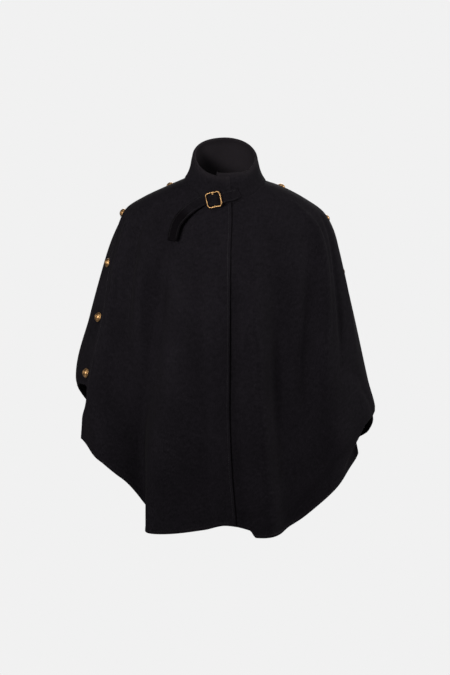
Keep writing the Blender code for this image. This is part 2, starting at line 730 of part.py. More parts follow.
def main():
    for old in list(bpy.data.objects):
        bpy.data.objects.remove(old, do_unlink=True)
    wool = plain_material("black felted wool", (0.009, 0.008, 0.009), 0.95, 0.0)
    gold = plain_material("gold plated brass", (0.72, 0.50, 0.20), 0.25, 1.0)
    add_front_right(wool)
    add_front_left(wool)
    add_back(wool)
    add_collar(wool)
    add_strap(wool)
    add_buckle_tab(wool)
    add_buckle(gold)
    add_buttons(gold)


main()
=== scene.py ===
"""The looks of a black wool poncho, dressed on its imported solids.

Metres, +Z up, the front along -Y and the wearer's left arm at +X, as in the solids. Every
cloth shell follows the drape of its solid: an azimuth runs round the body and a fall runs
from the neck seam to the hem. The sizes below are in millimetres and the same as the
solids', and creases, turned edges, stitches and nap are added to them here.
"""

import math
from collections import namedtuple

import bpy
import numpy as np
from mathutils import Matrix, Vector


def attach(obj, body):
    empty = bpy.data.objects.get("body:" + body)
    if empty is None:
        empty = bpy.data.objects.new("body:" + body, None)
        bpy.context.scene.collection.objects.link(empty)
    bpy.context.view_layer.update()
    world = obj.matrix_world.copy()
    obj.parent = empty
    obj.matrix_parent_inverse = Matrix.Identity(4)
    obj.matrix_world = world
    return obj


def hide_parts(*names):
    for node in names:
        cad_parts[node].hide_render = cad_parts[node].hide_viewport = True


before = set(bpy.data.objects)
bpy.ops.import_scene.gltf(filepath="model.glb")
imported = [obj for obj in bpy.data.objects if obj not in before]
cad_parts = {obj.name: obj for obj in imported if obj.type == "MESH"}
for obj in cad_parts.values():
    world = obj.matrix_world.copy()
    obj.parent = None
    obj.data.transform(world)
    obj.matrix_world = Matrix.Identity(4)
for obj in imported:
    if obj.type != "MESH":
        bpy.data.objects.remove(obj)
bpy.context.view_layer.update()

MM = 0.001

# ---- sizes of the solids, in millimetres --------------------------------------------

CLOTH = 2.4  # wall of the felted wool
LAYER = 3.5  # from one cloth layer to the next, where two lap
SEAM_LAP = 24  # the back runs this far under each front along the overarm seam
FRONT_UNDERLAP = 34  # the wearer's left front runs this far under the right one
LAP_RISE = 45  # a layer climbs onto the one below over this width
STRIP = 26  # the back stays low this far behind a front's edge, where its buttons sit
SEAM_END_RIGHT = 0.85  # fall at which the overarm seam ends and the fronts hang free
SEAM_END_LEFT = 0.905

# The two sides: a side's azimuths are moved round by its turn, so that the back's run on from
# left to right, and behind is the way round that leads from its seam to the centre back.
Side = namedtuple("Side", "name turn behind")
SIDES = (Side("left", 0, 1), Side("right", 360, -1))

BUTTON_FIRST = 37  # first button, measured along the seam from the neck
BUTTON_PITCH = 115
BUTTONS_A_SIDE = 5
SEAM_READINGS = 400  # places where the seam is measured for them
BUTTON_RADIUS = 10
BUTTON_DOME = 6.5
BUTTON_RIM = 1.6
BUTTON_SHANK_RADIUS = 3.2
BUTTON_SHANK = 1.1
BUTTON_INSET = 13.4  # from the front's edge to the button's middle
GAP = 0.3  # between pieces that touch

# Half widths, depths and drops of the drape, the cloth's outer face, at ten levels. "right"
# is the wearer's right. An out is measured from the neck's middle and a drop downwards from
# it, and square is how far the ring's corners stand out of an ellipse.
Section = namedtuple(
    "Section",
    "fall right_out right_drop left_out left_drop front_out front_drop back_out back_drop square",
)
SECTIONS = (
    Section(0.00, 80, 0, 81, 5, 78, 52, 62, -5, 0.015),
    Section(0.07, 117, 16, 115, 17, 93, 74, 80, 13, 0.010),
    Section(0.16, 166, 39, 163, 42, 110, 112, 98, 48, 0.010),
    Section(0.25, 204, 64, 202, 71, 127, 160, 112, 96, 0.030),
    Section(0.35, 227, 108, 223, 110, 141, 222, 122, 160, 0.045),
    Section(0.50, 250, 182, 242, 186, 154, 318, 134, 264, 0.055),
    Section(0.68, 277, 278, 266, 290, 162, 440, 146, 400, 0.055),
    Section(0.86, 306, 400, 294, 418, 171, 576, 158, 560, 0.050),
    Section(0.92, 305, 452, 310, 484, 174, 626, 162, 620, 0.045),
    Section(1.00, 300, 524, 310, 552, 177, 690, 166, 700, 0.045),
)

# How low the hem hangs round the body.
HemPoint = namedtuple("HemPoint", "azimuth drop")
HEM = (
    HemPoint(-180, 700),  # centre back
    HemPoint(-160, 692),
    HemPoint(-140, 640),
    HemPoint(-106, 545),  # back's right corner
    HemPoint(-75, 529),  # right front's corner
    HemPoint(-52, 565),
    HemPoint(-44, 600),
    HemPoint(-38, 655),  # in the deep trough
    HemPoint(-33, 680),
    HemPoint(-28, 699),
    HemPoint(-20, 702),  # foot of the right ridge
    HemPoint(-8, 695),
    HemPoint(0, 686),  # notch at the closing
    HemPoint(8.8, 697),
    HemPoint(10.6, 711),  # foot of the left ridge
    HemPoint(19, 704),
    HemPoint(24, 692),
    HemPoint(29, 677),
    HemPoint(44, 607),
    HemPoint(52, 582),
    HemPoint(58, 566),
    HemPoint(64, 548),  # left front's corner
    HemPoint(108, 548),  # back's left corner
    HemPoint(140, 655),
    HemPoint(160, 696),
    HemPoint(180, 700),
)
HEM_FROM = 0.45  # the hem's line shapes the cloth from this fall down

# Azimuths, in degrees, of each front's outer edge: it laps over the back down to the end of
# the seam, then hangs free as far as the hem's corner. The back's own edge leaves the seam
# there and swings behind. An "in" is how far a free edge is drawn inside the drape.
SideEdge = namedtuple(
    "SideEdge",
    "fall right_front right_back right_back_in left_front left_back left_front_in left_back_in",
)
SIDE_EDGES = (
    SideEdge(0.00, -91, -91, 0, 90, 90, 0, 0),
    SideEdge(0.16, -91, -91, 0, 89, 89, 0, 0),
    SideEdge(0.30, -79, -79, 0, 91, 91, 0, 0),
    SideEdge(0.45, -70, -70, 0, 97, 97, 0, 0),
    SideEdge(0.60, -62, -62, 0, 102, 102, 0, 0),
    SideEdge(0.75, -60, -60, 0, 102, 102, 0, 0),
    SideEdge(0.82, -59, -59, 0, 100, 100, 0, 0),
    SideEdge(0.86, -59, -66, 0, 99, 99, 0, 0),
    SideEdge(0.88, -60, -82, 3, 98, 98, 0, 0),
    SideEdge(0.90, -62, -92, 12, 97, 98, 0, 0),
    SideEdge(0.92, -65, -97, 24, 91, 99, 5, 0),
    SideEdge(0.94, -68, -100, 29, 76, 100, 26, 0),
    SideEdge(0.97, -71, -103, 34, 65, 103, 26, 8),
    SideEdge(1.00, -75, -106, 37, 61, 108, 14, 52),
)
IN_TURN = 45  # degrees over which a free edge is drawn in
CURL_TURN = 22  # and over which the corner of the left front curls in
COLUMN_STEP = 0.9  # least degrees between the back's columns where its sides are cut away,
SOLID_COLUMNS = 38  # when it has so many from side to side, as in the solids

# Azimuth of the right front's centre edge, which laps over the left front.
FrontEdge = namedtuple("FrontEdge", "fall azimuth")
FRONT_EDGES = (
    FrontEdge(0.00, 8.5),
    FrontEdge(0.25, 2.9),
    FrontEdge(0.50, 2.1),
    FrontEdge(0.70, 1.9),
    FrontEdge(0.85, 2.5),
    FrontEdge(1.00, 4.1),
)

# Folds: the azimuth runs from top to foot, and the fold grows from the onset to the hem.
# Height is positive for a ridge and negative for a trough, and lean carries its crest
# sideways at the hem, towards +azimuth, by that share of its height.
Fold = namedtuple("Fold", "top foot onset height width lean")
FOLDS = (
    Fold(-19, -25, 0.27, 24, 8.5, -0.8),  # ridge from the right bust
    Fold(-35, -35.5, 0.34, -37, 7.0, -0.5),  # deep trough beside it
    Fold(-63, -38, 0.28, -15, 8.0, 0.0),  # trough from the right armpit, which runs into it
    Fold(-68, -53, 0.36, 9, 7.5, 0.0),  # over the right arm
    Fold(3, 9, 0.32, -9, 3.6, 0.0),  # beside the closing
    Fold(10, 16, 0.26, 21, 6.0, 0.4),  # ridge from the left bust
    Fold(28, 26, 0.34, -29, 9.5, 0.0),  # trough under the left bust
    Fold(66, 41, 0.20, 14, 8.0, 0.0),  # ridge down the left upper arm
    Fold(126, 132, 0.34, -30, 8.0, 0.0),  # trough behind the left arm
    Fold(150, 152, 0.38, 20, 9.0, 0.3),  # left back ridge
    Fold(178, 174, 0.46, -16, 8.0, 0.0),  # shallow trough near the centre back
    Fold(203, 206, 0.36, 22, 9.0, -0.3),  # right back ridge
    Fold(236, 226, 0.32, -32, 8.0, 0.0),  # trough behind the right arm
)

# Funnel collar. A share runs from the neck seam (0) to the rim (1).
COLLAR_WALL = 4.2  # two layers of cloth and an interlining
NECK_GAP = 0.7  # between the collar and the panels' neck edges
RIM_HALF = 66
RIM_FRONT = 84
RIM_BACK = 57
RIM_FRONT_HEIGHT = 2
RIM_BACK_HEIGHT = 84
RIM_RIGHT_RISE = 6  # the rim stands this much higher over the wearer's right shoulder
RIM_SQUARE = 0.02
COLLAR_FLARE = 2.4  # how quickly the neck's flare dies away upwards
COLLAR_LAP = 2.6  # each end stands this far out of, or in from, the ring
UNDER_END = -16  # azimuth of the end that lies underneath
OVER_END = 9  # azimuth of the end that shows
LAP_TURN = 40  # degrees over which an end moves in or out
CLOSING_FROM = -45  # the collar's foot climbs onto the double layer from this azimuth
CLOSING_CLIMB = 15  # over so many degrees
CLOSING_DROP = 8  # and comes down again over so many, past the end that shows

# Neck strap. On the collar its middle runs through these places, lifted off the ring, and
# then its tongue hangs free, lifted off the right front.
STRAP_WIDTH = 22
STRAP_WALL = 2.6
TONGUE_END = 0.8  # share of the width left at the tongue's rounded end
StrapPoint = namedtuple("StrapPoint", "azimuth share lift")
STRAP_ROUTE = (
    StrapPoint(22.0, 0.325, 2.4),
    StrapPoint(16.5, 0.295, 3.2),
    StrapPoint(11.5, 0.265, 6.4),
    StrapPoint(6.0, 0.25, 7.2),
    StrapPoint(1.0, 0.225, 7.4),
    StrapPoint(-3.5, 0.185, 8.4),
    StrapPoint(-8.5, 0.13, 15.4),
    StrapPoint(-14.0, 0.065, 21.6),
    StrapPoint(-19.0, -0.015, 13.7),
    StrapPoint(-24.5, -0.095, 11.2),
)
TonguePoint = namedtuple("TonguePoint", "azimuth fall lift")
TONGUE_ROUTE = (
    TonguePoint(-30.0, 0.078, 12),
    TonguePoint(-32.0, 0.132, 14),
    TonguePoint(-31.5, 0.185, 15),
    TonguePoint(-29.5, 0.238, 13),
)

BUCKLE_SIDE = 29  # middle to middle of the wire
BUCKLE_CORNER = 6
BUCKLE_WIRE = 1.7  # radius
BUCKLE_BAR = 1.3
BUCKLE_AZIMUTH = -14.0
BUCKLE_SHARE = 0.07
BUCKLE_LIFT = 15.4
BUCKLE_TURN = 11  # degrees, its side towards the wearer's left stands higher
TAB_WIDTH = 11
TAB_WALL = 1.3
TAB_LENGTH = 14
TAB_DROP = 6.9  # its tail lies this far under the bar
TAB_TAIL = 0.6  # share of the tail that lies flat on the collar
TAB_BEND = 5  # it starts to climb this far from the bar
TAB_CLIMB = 2.3  # and has climbed this much there


# ---- finer form, in millimetres -----------------------------------------------------

# Creases: each runs from one place of the drape to another and dies away at both ends.
# Height is positive for a ridge, and width is in degrees of azimuth.
Crease = namedtuple("Crease", "top top_fall foot foot_fall height width")
CREASES = (
    Crease(-40, 0.20, -56, 0.46, -3.0, 4.0),  # drag from the right bust to the arm
    Crease(-76, 0.50, -66, 0.88, 3.0, 3.5),  # streak down over the right arm
    Crease(-68, 0.16, -50, 0.86, 10.0, 3.6),  # folds over the right arm
    Crease(-58, 0.12, -42, 0.80, -14.0, 3.6),
    Crease(-47, 0.12, -35, 0.80, 11.0, 3.8),
    Crease(-35, 0.12, -27, 0.78, -13.0, 4.2),  # runs down from the bust into the trough
    Crease(-33, 0.66, -42, 1.06, -12.0, 3.0),  # folds in beside the body
    Crease(-18, 0.18, -17, 1.04, 9.5, 5.0),  # crest of the right ridge
    Crease(-14, 0.44, -11, 0.96, 2.5, 3.2),  # between the closing and the right ridge
    Crease(-7, 0.60, -6, 1.04, -3.0, 2.6),
    Crease(-2, 0.12, -3, 0.72, 9.0, 6.5),  # fullness over the right bust
    Crease(7.0, 0.28, 11.5, 0.94, -4.5, 2.3),  # narrow drag beside the closing
    Crease(15, 0.16, 16, 0.90, 14.0, 5.2),  # fullness over the left bust
    Crease(25, 0.24, 25, 0.84, -7.0, 5.0),
    Crease(28, 0.62, 26, 1.40, 14.0, 6.5),  # fills the trough out towards the hem
    Crease(33, 0.55, 33, 0.97, 3.0, 2.4),  # thin ridge behind the trough
    Crease(64, 0.12, 37, 0.88, 13.5, 3.0),  # ridge down the left upper arm
    Crease(52, 0.14, 31, 0.88, -7.5, 4.0),
    Crease(75, 0.22, 45, 0.92, -10.0, 3.8),
    Crease(84, 0.40, 58, 0.92, 4.0, 6.0),
    Crease(50, 0.72, 82, 0.975, -4.0, 4.0),  # crease above the left front's corner
    Crease(104, 0.30, 112, 0.80, 6.0, 5.0),  # back, left shoulder blade
    Crease(118, 0.50, 120, 1.02, 7.0, 4.0),
    Crease(138, 0.42, 142, 1.02, -8.0, 4.0),
    Crease(164, 0.36, 162, 1.04, -8.5, 4.0),
    Crease(190, 0.40, 188, 1.04, 8.0, 4.5),
    Crease(216, 0.34, 217, 1.02, -8.5, 4.0),
    Crease(246, 0.40, 240, 1.00, 6.5, 4.5),
    Crease(258, 0.26, 250, 0.70, -5.0, 4.5),
)

ROUND_EDGE = 1.3  # the cloth's cut edges are rounded over this width
LEAST_ROUND = 0.02  # square of the share of the wall that is left on the edge itself
TURNED_WIDTH = 8.0  # a turned edge is this wide
TURNED_RISE = 0.75  # and stands this much higher
TURNED_FOOT = 1.2  # its slope begins this far past its width
TURNED_SLOPE = 1.8  # and is this wide
BAND_BELOW = 0.02  # the back's sides are turned from this fall under the seam's end
HEM_BESIDE = 1  # the left front's hem is turned from so many degrees beside the closing
FAR_OFF = 99.0  # stands for the distance where an edge isn't turned
STITCH_INSET = 6.0  # from the edge to the row of stitches
STITCH_PITCH = 3.6
STITCH_LENGTH = 2.5
STITCH_PULL = 0.45  # a row of stitches draws the cloth down by this much
STITCH_PULL_WIDTH = 0.9
THREAD = 0.42  # half the thread's width
# A stitch along its length, from one end to the other, and how thick it is there.
STITCH_SHARES = (-1.0, -0.7, 0.0, 0.7, 1.0)
STITCH_SHAPE = (0.25, 0.85, 1.0, 0.85, 0.25)

STRAP_INSET = 3.0  # from the strap's edge to its row of stitches
STRAP_PAD = 0.175  # the strap swells by this much
STRAP_PAD_WIDTH = 6.0  # over this width
STRAP_PULL = 0.25  # and its stitches draw it in by this much
STRAP_PULL_WIDTH = 0.8
THREAD_LIFT = 0.1  # its thread lies this far off its cloth
TONGUE_TWIST = 0.4  # the hanging tongue turns down by this slope
TONGUE_ROUND = 9.0  # the tongue's end is rounded over this length

COLLAR_TUCK = 0.1  # share of its height that the collar runs down into the neck seam
ROLL_WIDTH = 4.0  # the rim rolls over in a soft half round of this radius
ROLL_SWELL = 1.4  # and each side of it swells by this much
UNDER_RISE = 7.0  # the collar's end underneath stands higher than the one that shows
RIM_LEAN = 4.0  # the rim leans in by this much
RIM_LEAN_WIDTH = 9.0  # over this height
COLLAR_THIN = 0.65  # its end that shows is pressed thinner by this share
COLLAR_THIN_WIDTH = 10.0  # over this width
COLLAR_EASE = 0.6  # how far the collar's cloth settles into soft waves

# Painted light and shade on the nap, with a little wear: up to 1 where it is painted pale, down to
# -1 where painted shade makes it dark.
# Cut and turned edges are painted paler: a painted highlight where they catch the light, with a
# little wear.
CUT_WEAR_AND_HIGHLIGHT = 0.35  # on a cut edge
CUT_WEAR_AND_HIGHLIGHT_WIDTH = 1.2
TURNED_WEAR_AND_HIGHLIGHT = 0.25  # on a turned edge
TURNED_WEAR_AND_HIGHLIGHT_WIDTH = 2.0
# The collar's inside is painted paler, painted light in the shade within the collar.
COLLAR_INSIDE_PAINTED_LIGHT = 0.6  # on the collar's inside
# A band along the rim is painted paler, a painted highlight on the top of its roll.
RIM_PAINTED_HIGHLIGHT = 0.4  # along the collar's rim
RIM_BAND = 9.0
# Both fronts are painted darker along the closing: painted shade on the right front's edge and its
# painted shadow beside it.
RIGHT_PAINTED_SHADE = 0.7  # on the right front, along the closing
RIGHT_PAINTED_SHADE_WIDTH = 1.4
LEFT_PAINTED_SHADE = 0.5  # on the left front beside it
LEFT_PAINTED_SHADE_WIDTH = 1.6
# The whole strap is a shade darker, and its hanging tongue is darker still with painted shade.
STRAP_DARKENING = 0.2  # all along the strap
TONGUE_PAINTED_SHADE = 0.75  # and this much more on its tongue
TONGUE_LENGTH = 78  # from the buckle to its tip
TONGUE_FADE = 20

# The buckle, its tab and the buttons.
PLATING_EASE = 0.3  # the buckle's wire is this much slimmer all round
TAB_LOOP_END = 165  # degrees that the tab's loop has turned where its upper layer leaves the bar
TAB_ROUND_EDGE = 0.6
RIM_ROLL_END = 130  # degrees that the button's rim has rolled where the dome begins
DOME_START = 8  # degrees up the dome's curve
DOME_END = 89.6
DOME_SINK = 0.6  # the dome's own middle lies this far inside the rim
DOME_EXTRA = 0.4  # and it is this much taller
BUTTON_HOLE = 0.05  # the profile starts this far off the button's axis

# How finely the shells are divided.
FALL_LENGTH = 700  # about this many millimetres from neck to hem
EDGE_STEPS = 14
EDGE_CROWDING = 1.7  # how much closer together the columns and rows lie near an edge
BESIDE_CLOSING = 14  # the left front's columns are close together this far beside the closing
PANEL_ROWS = 110
FRONT_STEPS = 90
BACK_STEPS = 170
COLLAR_STEPS = 170
COLLAR_LAP_STEPS = 40
COLLAR_RINGS = 28
RIM_RINGS = 8  # rings of the collar's top part
RIM_SHARE = 0.1  # which is this share of its height
RIM_CROWDING = 1.6
STRAP_STEPS = 150
STRAP_COLUMNS = 27
TAB_STEPS = 60
TAB_COLUMNS = 13
TAB_LOOP_STEPS = 9
BUCKLE_STEPS = 96
BAR_STEPS = 9
WIRE_SIDES = 20
BAR_SIDES = 16
BUTTON_SIDES = 48
RIM_ROLL_STEPS = 12
DOME_STEPS = 16
STITCH_SIDES = 6

# Which of a grid's rows and columns are stitched.
SIDE_STITCHED = slice(2, -10)  # from the neck down to just above the hem's turned edge
HEM_STITCHED = slice(8, -8)
LEFT_HEM_STITCHED = slice(EDGE_STEPS + 2, -8)  # clear of the closing
STRAP_STITCHED = slice(5, -4)


# ---- setting, in metres and degrees -------------------------------------------------

GROUND_COLOUR = "#F1F1F1"
FLOOR_RINGS = (0.01, 0.5, 1.0, 1.5)  # radii
FLOOR_STEPS = 72
FLOOR_HEIGHT = -1.42
SURROUND_LIGHT = 0.175  # the surround's strength as a light

# Soft boxes. Each faces a point on the Z axis, at the height of its aim.
SoftBox = namedtuple("SoftBox", "name place aim size watts spread")
SOFT_BOXES = (
    SoftBox("front_box", (-0.72, -1.45, 0.05), -0.17, (0.4, 0.4), 7.6, 80),
    SoftBox("left_box", (-2.4, 0.1, 0.3), -0.35, (0.5, 1.2), 11, 180),
    SoftBox("right_box", (2.4, -0.1, 0.7), -0.35, (0.7, 1.6), 84, 180),
    SoftBox("top_box", (0.25, -1.0, 1.9), -0.35, (1.2, 1.2), 21, 180),
    SoftBox("back_box", (0.3, 2.4, 1.2), -0.35, (1.6, 1.2), 60, 180),
)

CAMERA_SENSOR = 36  # height in millimetres
CAMERA_LENS = 104.07
CAMERA_DISTANCE = 4.0
CAMERA_RISE = 4.0
CAMERA_TARGET = -0.326  # height of the point it looks at


# ---- curves -------------------------------------------------------------------------


def column(table, name):
    """One named column of a table."""
    return np.array([getattr(row, name) for row in table], dtype=float)


def smooth(x):
    """0 up to x = 0, 1 from x = 1, and an even S between."""
    x = np.clip(x, 0.0, 1.0)
    return x * x * (3.0 - 2.0 * x)


def bell(distance, width):
    """1 at no distance, and fading away evenly on both sides, to 0.37 at the width."""
    return np.exp(-((distance / width) ** 2))


def curve_through(knots, values, at):
    """A smooth curve through the values at the knots, which never swings past them.

    Each span is a cubic. The slope at a knot is the harmonic mean of the slopes on its two
    sides, or level where they differ in sign.
    """
    step = np.diff(knots)
    rise = np.diff(values) / step
    product = rise[1:] * rise[:-1]
    same = product > 0
    inner = np.where(same, 2 * product / np.where(same, rise[1:] + rise[:-1], 1.0), 0.0)
    slope = np.concatenate([rise[:1], inner, rise[-1:]])
    span = np.clip(np.searchsorted(knots, at, side="right") - 1, 0, len(step) - 1)
    u = (at - knots[span]) / step[span]
    start = values[span] * (1 + 2 * u) * (1 - u) ** 2 + slope[span] * step[span] * u * (1 - u) ** 2
    end = values[span + 1] * u**2 * (3 - 2 * u) + slope[span + 1] * step[span] * u**2 * (u - 1)
    return start + end


def wrapped(azimuth):
    """The same direction, from -180 to 180."""
    return (azimuth + 180.0) % 360.0 - 180.0


def unit(vectors):
    """The same directions, each 1 long."""
    return vectors / np.linalg.norm(vectors, axis=-1, keepdims=True)


# ---- the drape ----------------------------------------------------------------------


def drape(azimuth, fall):
    """Points of the drape, in millimetres.

    Across is the side's half width times the sine of the azimuth, and forward the front's or
    back's depth times its cosine, both pushed out at the ring's corners. The drop goes from
    the side's to the front's or back's with the cosine squared, and lower down follows the
    hem's line. Each fold then moves the point out or in, and sideways by its lean, and each
    crease adds a little more in the same way.
    """
    azimuth, fall = np.broadcast_arrays(np.asarray(azimuth, float), np.asarray(fall, float))
    sine = np.sin(np.radians(azimuth))
    cosine = np.cos(np.radians(azimuth))
    falls = column(SECTIONS, "fall")
    size = {n: curve_through(falls, column(SECTIONS, n), fall) for n in Section._fields[1:]}
    hem = SECTIONS[-1]
    left = sine > 0
    front = cosine > 0
    half = np.where(left, size["left_out"], size["right_out"])
    depth = np.where(front, size["front_out"], size["back_out"])
    corner = 1 + size["square"] * (2 * sine * cosine) ** 2
    side_drop = np.where(left, size["left_drop"], size["right_drop"])
    end_drop = np.where(front, size["front_drop"], size["back_drop"])
    drop = side_drop * sine**2 + end_drop * cosine**2
    even_hem = (
        np.where(left, hem.left_drop, hem.right_drop) * sine**2
        + np.where(front, hem.front_drop, hem.back_drop) * cosine**2
    )
    hem_line = curve_through(column(HEM, "azimuth"), column(HEM, "drop"), wrapped(azimuth))
    drop = drop + (hem_line - even_hem) * smooth((fall - HEM_FROM) / (1 - HEM_FROM))
    out = np.zeros_like(drop)
    aside = np.zeros_like(drop)
    for fold in FOLDS:
        grown = np.clip((fall - fold.onset) / (1 - fold.onset), 0, 1)
        middle = fold.top + (fold.foot - fold.top) * grown
        height = fold.height * np.sin(0.5 * np.pi * grown)
        height = height * bell(wrapped(azimuth - middle), fold.width)
        out += height
        aside += height * fold.lean * grown**2
    for crease in CREASES:
        gone = (fall - crease.top_fall) / (crease.foot_fall - crease.top_fall)
        gone = np.clip(gone, 0, 1)
        middle = crease.top + (crease.foot - crease.top) * gone
        out += crease.height * np.sin(np.pi * gone) * bell(wrapped(azimuth - middle), crease.width)
    outward = unit(np.stack([sine / half, -cosine / depth], axis=-1))
    across = half * sine * corner + out * outward[..., 0] - aside * outward[..., 1]
    forward = -depth * cosine * corner + out * outward[..., 1] + aside * outward[..., 0]
    return np.stack([across, forward, -drop], axis=-1)


def drape_normal(azimuth, fall):
    """Unit vectors out of the drape: a small step down its fall crossed with one round it."""
    round_it = drape(azimuth + 0.2, fall) - drape(azimuth - 0.2, fall)
    down_it = drape(azimuth, fall + 0.003) - drape(azimuth, fall - 0.003)
    return unit(np.cross(down_it, round_it))


def lifted(azimuth, fall, lift):
    """Points that stand off the drape by lift."""
    azimuth, fall, lift = np.broadcast_arrays(azimuth, fall, lift)
    return drape(azimuth, fall) + drape_normal(azimuth, fall) * lift[..., None]


def degrees_for(length, azimuth, fall):
    """How many degrees of azimuth a length round the body takes at a place."""
    step = drape(azimuth + 0.5, fall) - drape(azimuth - 0.5, fall)
    return length / np.linalg.norm(step, axis=-1)


def edge(name, fall):
    """A column of the side edges' table, read at a fall."""
    return curve_through(column(SIDE_EDGES, "fall"), column(SIDE_EDGES, name), fall)


def front_edge(fall):
    """Azimuth of the right front's centre edge."""
    return curve_through(column(FRONT_EDGES, "fall"), column(FRONT_EDGES, "azimuth"), fall)


def under_edge(fall):
    """Azimuth of the left front's centre edge, under the right front."""
    return front_edge(fall) - degrees_for(FRONT_UNDERLAP, 0.0, fall)


# ---- meshes -------------------------------------------------------------------------


def new_piece(name, points, faces, material, slot, uv=None, painted_light_and_wear=None):
    """A smooth mesh of the object, from points in millimetres, riding on the one body."""
    mesh = bpy.data.meshes.new(name)
    mesh.from_pydata((points * MM).tolist(), [], faces.tolist())
    mesh.shade_smooth()
    mesh.materials.append(material)
    if uv is not None:
        corner = np.empty(len(mesh.loops), np.int32)
        mesh.loops.foreach_get("vertex_index", corner)
        layer = mesh.uv_layers.new(name="cloth_metres")
        layer.data.foreach_set("uv", (uv[corner] * MM).astype(np.float32).ravel())
    # The painted light and shade, with a little wear, that the wool's colour follows.
    if painted_light_and_wear is not None:
        attribute = mesh.attributes.new("wear_and_painted_light", "FLOAT", "POINT")
        attribute.data.foreach_set("value", painted_light_and_wear.astype(np.float32))
    piece = bpy.data.objects.new(name, mesh)
    bpy.context.scene.collection.objects.link(piece)
    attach(piece, "root")
    return piece


def wall_faces(rows, columns):
    """Quads of a closed wall: an outer grid, an inner grid after it, and a strip between
    their borders. Down the rows crossed with along the columns points out of it."""
    index = np.arange(rows * columns).reshape(rows, columns)
    skin = np.stack(
        [index[:-1, :-1], index[1:, :-1], index[1:, 1:], index[:-1, 1:]], -1
    ).reshape(-1, 4)
    loop = np.concatenate(
        [index[:-1, 0], index[-1, :-1], index[:0:-1, -1], index[0, :0:-1]]
    )
    ahead = np.roll(loop, -1)
    under = rows * columns
    sides = np.stack([ahead, loop, loop + under, ahead + under], 1)
    return np.concatenate([skin, skin[:, ::-1] + under, sides])


def arc_lengths(grid, axis):
    """How far each grid point lies from the first one of its row or column."""
    step = np.linalg.norm(np.diff(grid, axis=axis), axis=-1)
    start = np.zeros_like(step.take([0], axis=axis))
    return np.concatenate([start, np.cumsum(step, axis=axis)], axis=axis)


def edge_distances(grid):
    """Distances to the first column, the last column, the top row and the hem's row."""
    along, down = arc_lengths(grid, 1), arc_lengths(grid, 0)
    return {
        "first": along,
        "last": along[:, -1:] - along,
        "top": down,
        "hem": down[-1:] - down,
    }


def rounded(distance, radius):
    """A half round edge: 1 from the radius inwards, and so little on the edge itself that the
    two skins only just stay apart."""
    inside = np.clip(distance / radius, 0, 1)
    return np.sqrt(np.clip(1 - (1 - inside) ** 2, LEAST_ROUND, 1))


def cloth_wall(middle, facing, wall, bands, round_edge=ROUND_EDGE, darkening_and_painted_shade=0.0, pale_painted_light=0.0):
    """Points, faces, UV, and painted light and wear, of a wall of cloth with rounded edges.

    The two skins stand half the wall off the middle surface, less near an edge, where the
    wall closes in a half round. Each band is the distance to a turned edge: within its
    width the outer skin stands up, and a line of stitches pulls it down again. The painted
    light and wear is 1 where the nap is painted pale, as it is a little along cut and turned
    edges, a painted highlight with some wear, and goes down to -1 where painted shade
    darkens it.
    """
    sides = edge_distances(middle)
    nearest = np.minimum.reduce(list(sides.values()))
    half = 0.5 * wall * rounded(nearest, round_edge)
    raised = np.zeros_like(half)
    for distance in bands:
        turned = TURNED_RISE * smooth((TURNED_WIDTH + TURNED_FOOT - distance) / TURNED_SLOPE)
        pulled = STITCH_PULL * bell(distance - STITCH_INSET, STITCH_PULL_WIDTH)
        raised = np.maximum(raised, turned - pulled)
    raised *= rounded(nearest, 2 * round_edge)
    outer = middle + facing * (half + raised)[..., None]
    inner = middle - facing * half[..., None]
    points = np.concatenate([outer.reshape(-1, 3), inner.reshape(-1, 3)])
    uv = np.stack([0.5 * (sides["first"] - sides["last"]), -sides["top"]], -1).reshape(-1, 2)
    # Painted highlight, with a little wear, along cut and turned edges.
    painted_light_and_wear = CUT_WEAR_AND_HIGHLIGHT * np.exp(-nearest / CUT_WEAR_AND_HIGHLIGHT_WIDTH)
    if bands:
        from_turned = np.minimum.reduce(bands)
        painted_light_and_wear = np.maximum(painted_light_and_wear, TURNED_WEAR_AND_HIGHLIGHT * np.exp(-from_turned / TURNED_WEAR_AND_HIGHLIGHT_WIDTH))
    # Where painted shade darkens the cloth it also takes the edges' painted highlight away.
    painted_light_and_wear = (painted_light_and_wear * (1 - darkening_and_painted_shade) - darkening_and_painted_shade).ravel()
    faces = wall_faces(*middle.shape[:2])
    # The inner skin is painted at least as pale as the painted light given for it.
    inside = np.maximum(painted_light_and_wear, pale_painted_light)
    return points, faces, np.concatenate([uv, uv]), np.concatenate([painted_light_and_wear, inside])


def read_along(points, gone, at):
    """Points of a line, given how far along it each of them lies, read at other lengths."""
    return np.stack([np.interp(at, gone, points[:, k]) for k in range(3)], axis=-1)


def circle_of(steps, offset=0.0):
    """The cosine and sine of each of so many even steps round a circle."""
    turn = 2 * np.pi * (np.arange(steps) + offset) / steps
    return np.stack([np.cos(turn), np.sin(turn)], axis=-1)


